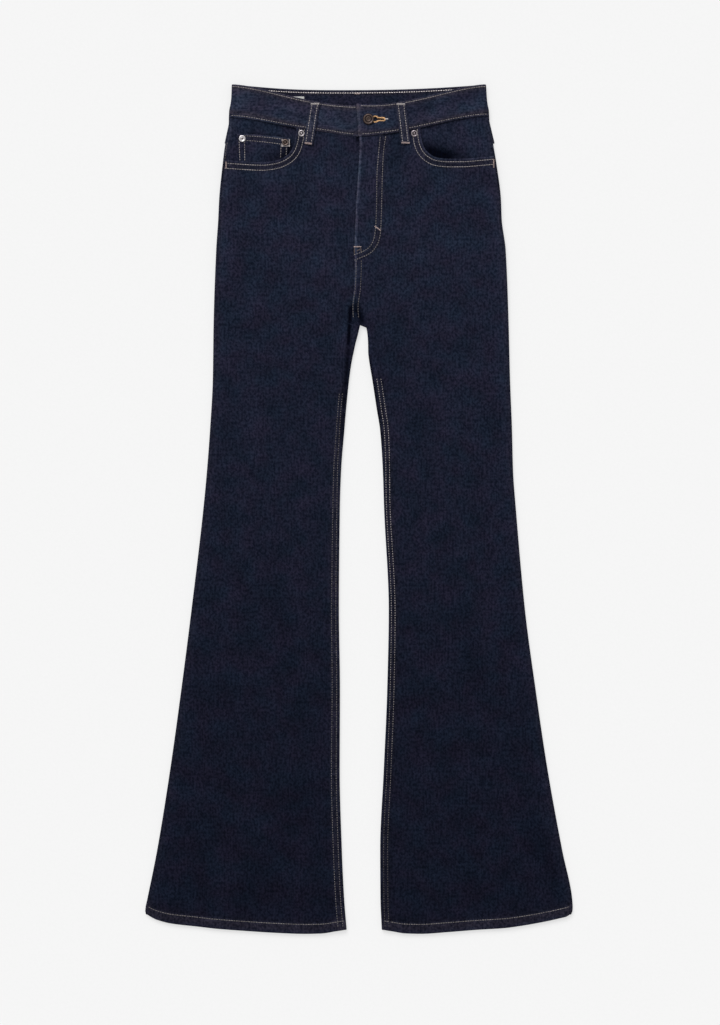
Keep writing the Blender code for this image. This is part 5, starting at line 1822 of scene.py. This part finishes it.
def pocket_runs(side):
    """Two lines of stitches round a front pocket, wider apart where it curves."""
    path = pocket_path(side)
    runs = []
    for row in POCKET_LINES:
        line = apart(path, SIGN[side], pocket_offset(row, side, path[:, 0]))
        keep = (line[:, 1] < front_band_seam(line[:, 0]) - 1) & (np.abs(line[:, 0]) < POCKET_LINE_END)
        runs.append(run_along(line[keep], partial(front_level, side), 1, CLOSE_STITCH))
    return runs


def coin_runs():
    """Twin stitches along the top and down both sides of the coin pocket."""
    span = (COIN_TOP[0].x + 2, COIN_TOP[1].x - 2)
    lines = [level_path(span, lambda x: coin_top(x) - COIN_LINE),
             level_path(span, lambda x: coin_top(x) - coin_second_line(x))]
    for row in COIN_DOWN_LINES:
        top = [row.top, float(coin_top(row.top)) - COIN_DOWN_FROM]
        foot = [row.foot, POCKET_EDGES["right"][1].y + row.rise]
        lines.append(across_between(np.array(top), np.array(foot), np.linspace(0, 1, 20)))
    return [run_along(line, coin_level) for line in lines]


def fly_runs():
    """The two curved lines beside the fly."""
    lines = [path_through([(row.x, row.y) for row in rows], np.linspace(0, 1, 120)) for rows in FLY_LINES]
    return [run_along(line, partial(front_level, "left")) for line in lines]


def crotch_runs():
    """The twin lines down the crotch seam."""
    return [run_along(seam_path(CENTRE_FRONT, "x", *CROTCH_SPAN, beside, 60), partial(front_level, "left"))
            for beside in CROTCH_LINES]


def hem_runs():
    """The single line of stitches round each hem, on the front and on the back."""
    runs = []
    for side in SIGN:
        line = hem_line(side, np.linspace(*HEM_SPAN, 200)) + np.array([0, HEM_LINE])
        runs.append(run_along(line, partial(front_level, side), 1, CLOSE_STITCH))
        runs.append(run_along(line, partial(underside, side), -1, CLOSE_STITCH))
    return runs


def leg_runs(side):
    """The inseam's twin lines, as far up as they show."""
    y = np.linspace(INSEAM_SHOWN[side], hem_y(side, 1.0) + 3, 300)
    inseam = read_table(INSEAMS, side, y)
    lines = [np.column_stack([inseam + SIGN[side] * offset, y]) for offset in inseam_offsets(side, y)]
    return [run_along(line, partial(front_level, side), 1, SHORT_STITCH) for line in lines]


def side_seam_runs():
    """A short line beside the right side seam, just above the pocket's end."""
    foot = POCKET_EDGES["right"][0].y + 1.5
    line = seam_path(SIDE_SEAMS, "right", SIDE_LINE_TOP, foot, SIDE_LINE, 20)
    return [run_along(line, partial(facing_level, "right"))]


def loop_runs(loops, level, up):
    """A line of stitches along either side of each loop."""
    shares = np.linspace(*LOOP_SPAN, 30)
    return [run_along(loop_axis(loop, shares) + np.array([beside, 0]), partial(level, loop), up)
            for loop in loops for beside in (-LOOP_LINE, LOOP_LINE)]


def back_runs(side):
    """Yoke and pocket stitches of the hidden side."""
    span = [SIGN[side] * x for x in SEAT_SPAN]
    runs = [run_along(level_path(span, lambda x: yoke_seam(x) + beside), yoke_level, -1)
            for beside in SEAT_LINES]
    u = np.linspace(-1, 1, 60)
    v = np.linspace(0, 1, 60)
    edges = [patch_pocket_point(side, edge_u, edge_v, inset) for inset in PATCH_LINES
             for edge_u, edge_v in ((-1 + 0 * v, v), (1 + 0 * v, v), (u, 1 + 0 * u))]
    edges += [patch_pocket_point(side, 0.96 * u, below / PATCH_HEIGHT + 0 * u) for below in PATCH_HEM_LINES]
    return runs + [run_along(edge, patch_pocket_level, -1) for edge in edges]


def centre_back_runs():
    """Twin lines down the centre back, on the wearer's left."""
    band, seam = float(back_band_seam(0.0)), float(yoke_seam(0.0))
    runs = []
    for beside in CENTRE_BACK_LINES:
        for first, last, points, level in ((seam - 1, CROTCH[1] + 4, 100, partial(underside, "left")),
                                           (band - 1, seam + 1, 30, yoke_level)):
            runs.append(run_along(seam_path(CENTRE_BACK, "x", first, last, beside, points), level, -1))
    return runs


def stitching():
    """All straight stitching, one mesh for each part of the garment, with its tone."""
    groups = {
        "waistband": band_runs(),
        "inner_band": inner_band_runs(),
        "pocket": pocket_runs("right") + pocket_runs("left"),
        "coin": coin_runs(),
        "fly": fly_runs(),
        "crotch": crotch_runs(),
        "hem": hem_runs(),
        "side": side_seam_runs(),
        "seat": back_runs("right") + back_runs("left") + centre_back_runs(),
        "front_loop": loop_runs(FRONT_LOOPS, front_loop_level, 1),
        "back_loop": loop_runs(BACK_LOOPS, back_loop_level, -1),
    }
    for name, runs in groups.items():
        sew(name + "_stitches", runs, "thread_cream", TONES[name])
    for side, (tone, foot_tone) in LEG_TONES.items():
        sew(side + "_leg_stitches", leg_runs(side), "thread_cream", tone, foot_tone=foot_tone)


def across_loop(x, y, *rest):
    """A bartack from side to side of a loop."""
    reach = LOOP_WIDTH / 2 - 0.7
    return tack_between((x - reach, y), (x + reach, y), *rest)


def bartacks():
    """Dense tacks at the loops, the fly, the pockets' ends and inside the waist."""
    levels = {"front_left": partial(front_level, "left"), "front_right": partial(front_level, "right"),
              "inside_band": inside_band_level}
    groups = {row.name: [] for row in TACK_GROUPS}
    for loop in FRONT_LOOPS:
        level = partial(front_loop_level, loop)
        groups["pale"].append(across_loop(loop.top_x, loop.top_y - LOOP_TACK_DROP, level, 1, 3.2))
    for loop, (x0, y0, x1, y1) in zip(FRONT_LOOPS, LOOP_TACKS):
        groups["rust"].append(tack_between((x0, y0), (x1, y1), partial(front_loop_level, loop), 1, 2.8))
    for loop in BACK_LOOPS:
        level = partial(back_loop_level, loop)
        groups["pale"].append(across_loop(loop.top_x, loop.top_y - LOOP_TACK_DROP, level, -1))
        groups["rust"].append(across_loop(loop.foot_x, loop.foot_y + LOOP_TACK_DROP, level, -1))
    for tack in TACKS:
        ends = (tack.x0, tack.y0), (tack.x1, tack.y1)
        groups[tack.group].append(tack_between(*ends, levels[tack.face], 1, tack.width))
    for side in SIGN:
        for u in PATCH_TACK[0]:
            corner = patch_pocket_point(side, np.array([u, u]), np.array(PATCH_TACK[1]))
            groups["rust"].append(tack_between(*corner, patch_pocket_level, -1))
    for x0, y0, x1, y1 in COIN_TACKS:
        groups["coin"].append(tack_between((x0, y0), (x1, y1), coin_level, 1, 1.6))
    for row in TACK_GROUPS:
        sew(row.name + "_bartacks", groups[row.name], row.thread, row.tone, row.width, row.height)


def buttonhole_edge():
    """Close gold threads square to the edge of the keyhole, and a tack over its end."""
    level = partial(band_level, "left")
    outlines = [keyhole_outline(grow) for grow in HOLE_THREAD]
    closed = [np.concatenate([outline, outline[:1]]) for outline in outlines]
    lengths = [lengths_along(path)[-1] for path in closed]
    count = round(lengths[0] / HOLE_THREAD_PITCH)
    inner, outer = [read_path(path, np.arange(count) * length / count)
                    for path, length in zip(closed, lengths)]
    sew("buttonhole_thread", [on_cloth(inner, outer, level)], "thread_gold", 1.0, *HOLE_THREAD_SIZE)
    start, end = [(SLIT_END + reach, BUTTON_PLACE[1] + 0.4) for reach in HOLE_TACK]
    sew("buttonhole_tack", [tack_between(start, end, level)], "thread_cream", 1.9, *HOLE_THREAD_SIZE)


# The setting


def camera():
    """Straight above the garment, with a long lens."""
    data = bpy.data.cameras.new("camera")
    data.lens = LENS
    data.sensor_fit = "VERTICAL"
    data.sensor_height = SENSOR
    made = bpy.data.objects.new("camera", data)
    made.location = (*VIEW_CENTRE, VIEW_LEVEL + VIEW_HEIGHT * LENS / SENSOR)
    bpy.context.scene.collection.objects.link(made)
    bpy.context.scene.camera = made


def floor():
    corners = ((-1, -1), (1, -1), (1, 1), (-1, 1))
    places = [(x * FLOOR_SIZE / 2 / MM, y * FLOOR_SIZE / 2 / MM, FLOOR_LEVEL / MM) for x, y in corners]
    mesh_object("floor", np.array(places), [[0, 1, 2, 3]], "paper_floor")


def lights():
    """An even pale room, and one broad soft light from above the waist, a little to one side."""
    world = bpy.data.worlds.new("room")
    world.use_nodes = True
    background = world.node_tree.nodes["Background"]
    background.inputs["Color"].default_value = (1, 1, 1, 1)
    background.inputs["Strength"].default_value = ROOM_LIGHT
    bpy.context.scene.world = world
    sun = bpy.data.lights.new("window", "SUN")
    sun.energy = WINDOW_LIGHT
    sun.angle = WINDOW_SIZE
    made = bpy.data.objects.new("window", sun)
    made.rotation_euler = WINDOW_TURN
    bpy.context.scene.collection.objects.link(made)


def build():
    camera()
    make_finishes()
    for side in SIGN:
        for make in (front_panel, back_panel, yoke, back_pocket, pocket_facing):
            make(side)
    coin_pocket()
    cut_buttonhole(waistband())
    for loop, side in zip(FRONT_LOOPS, SIGN):
        belt_loop(loop, front_loop_level, 1)
    for loop in BACK_LOOPS:
        belt_loop(loop, back_loop_level, -1)
    metalwork()
    label()
    stitching()
    bartacks()
    buttonhole_edge()
    floor()
    lights()
    bpy.context.scene.view_settings.view_transform = "Standard"


build()
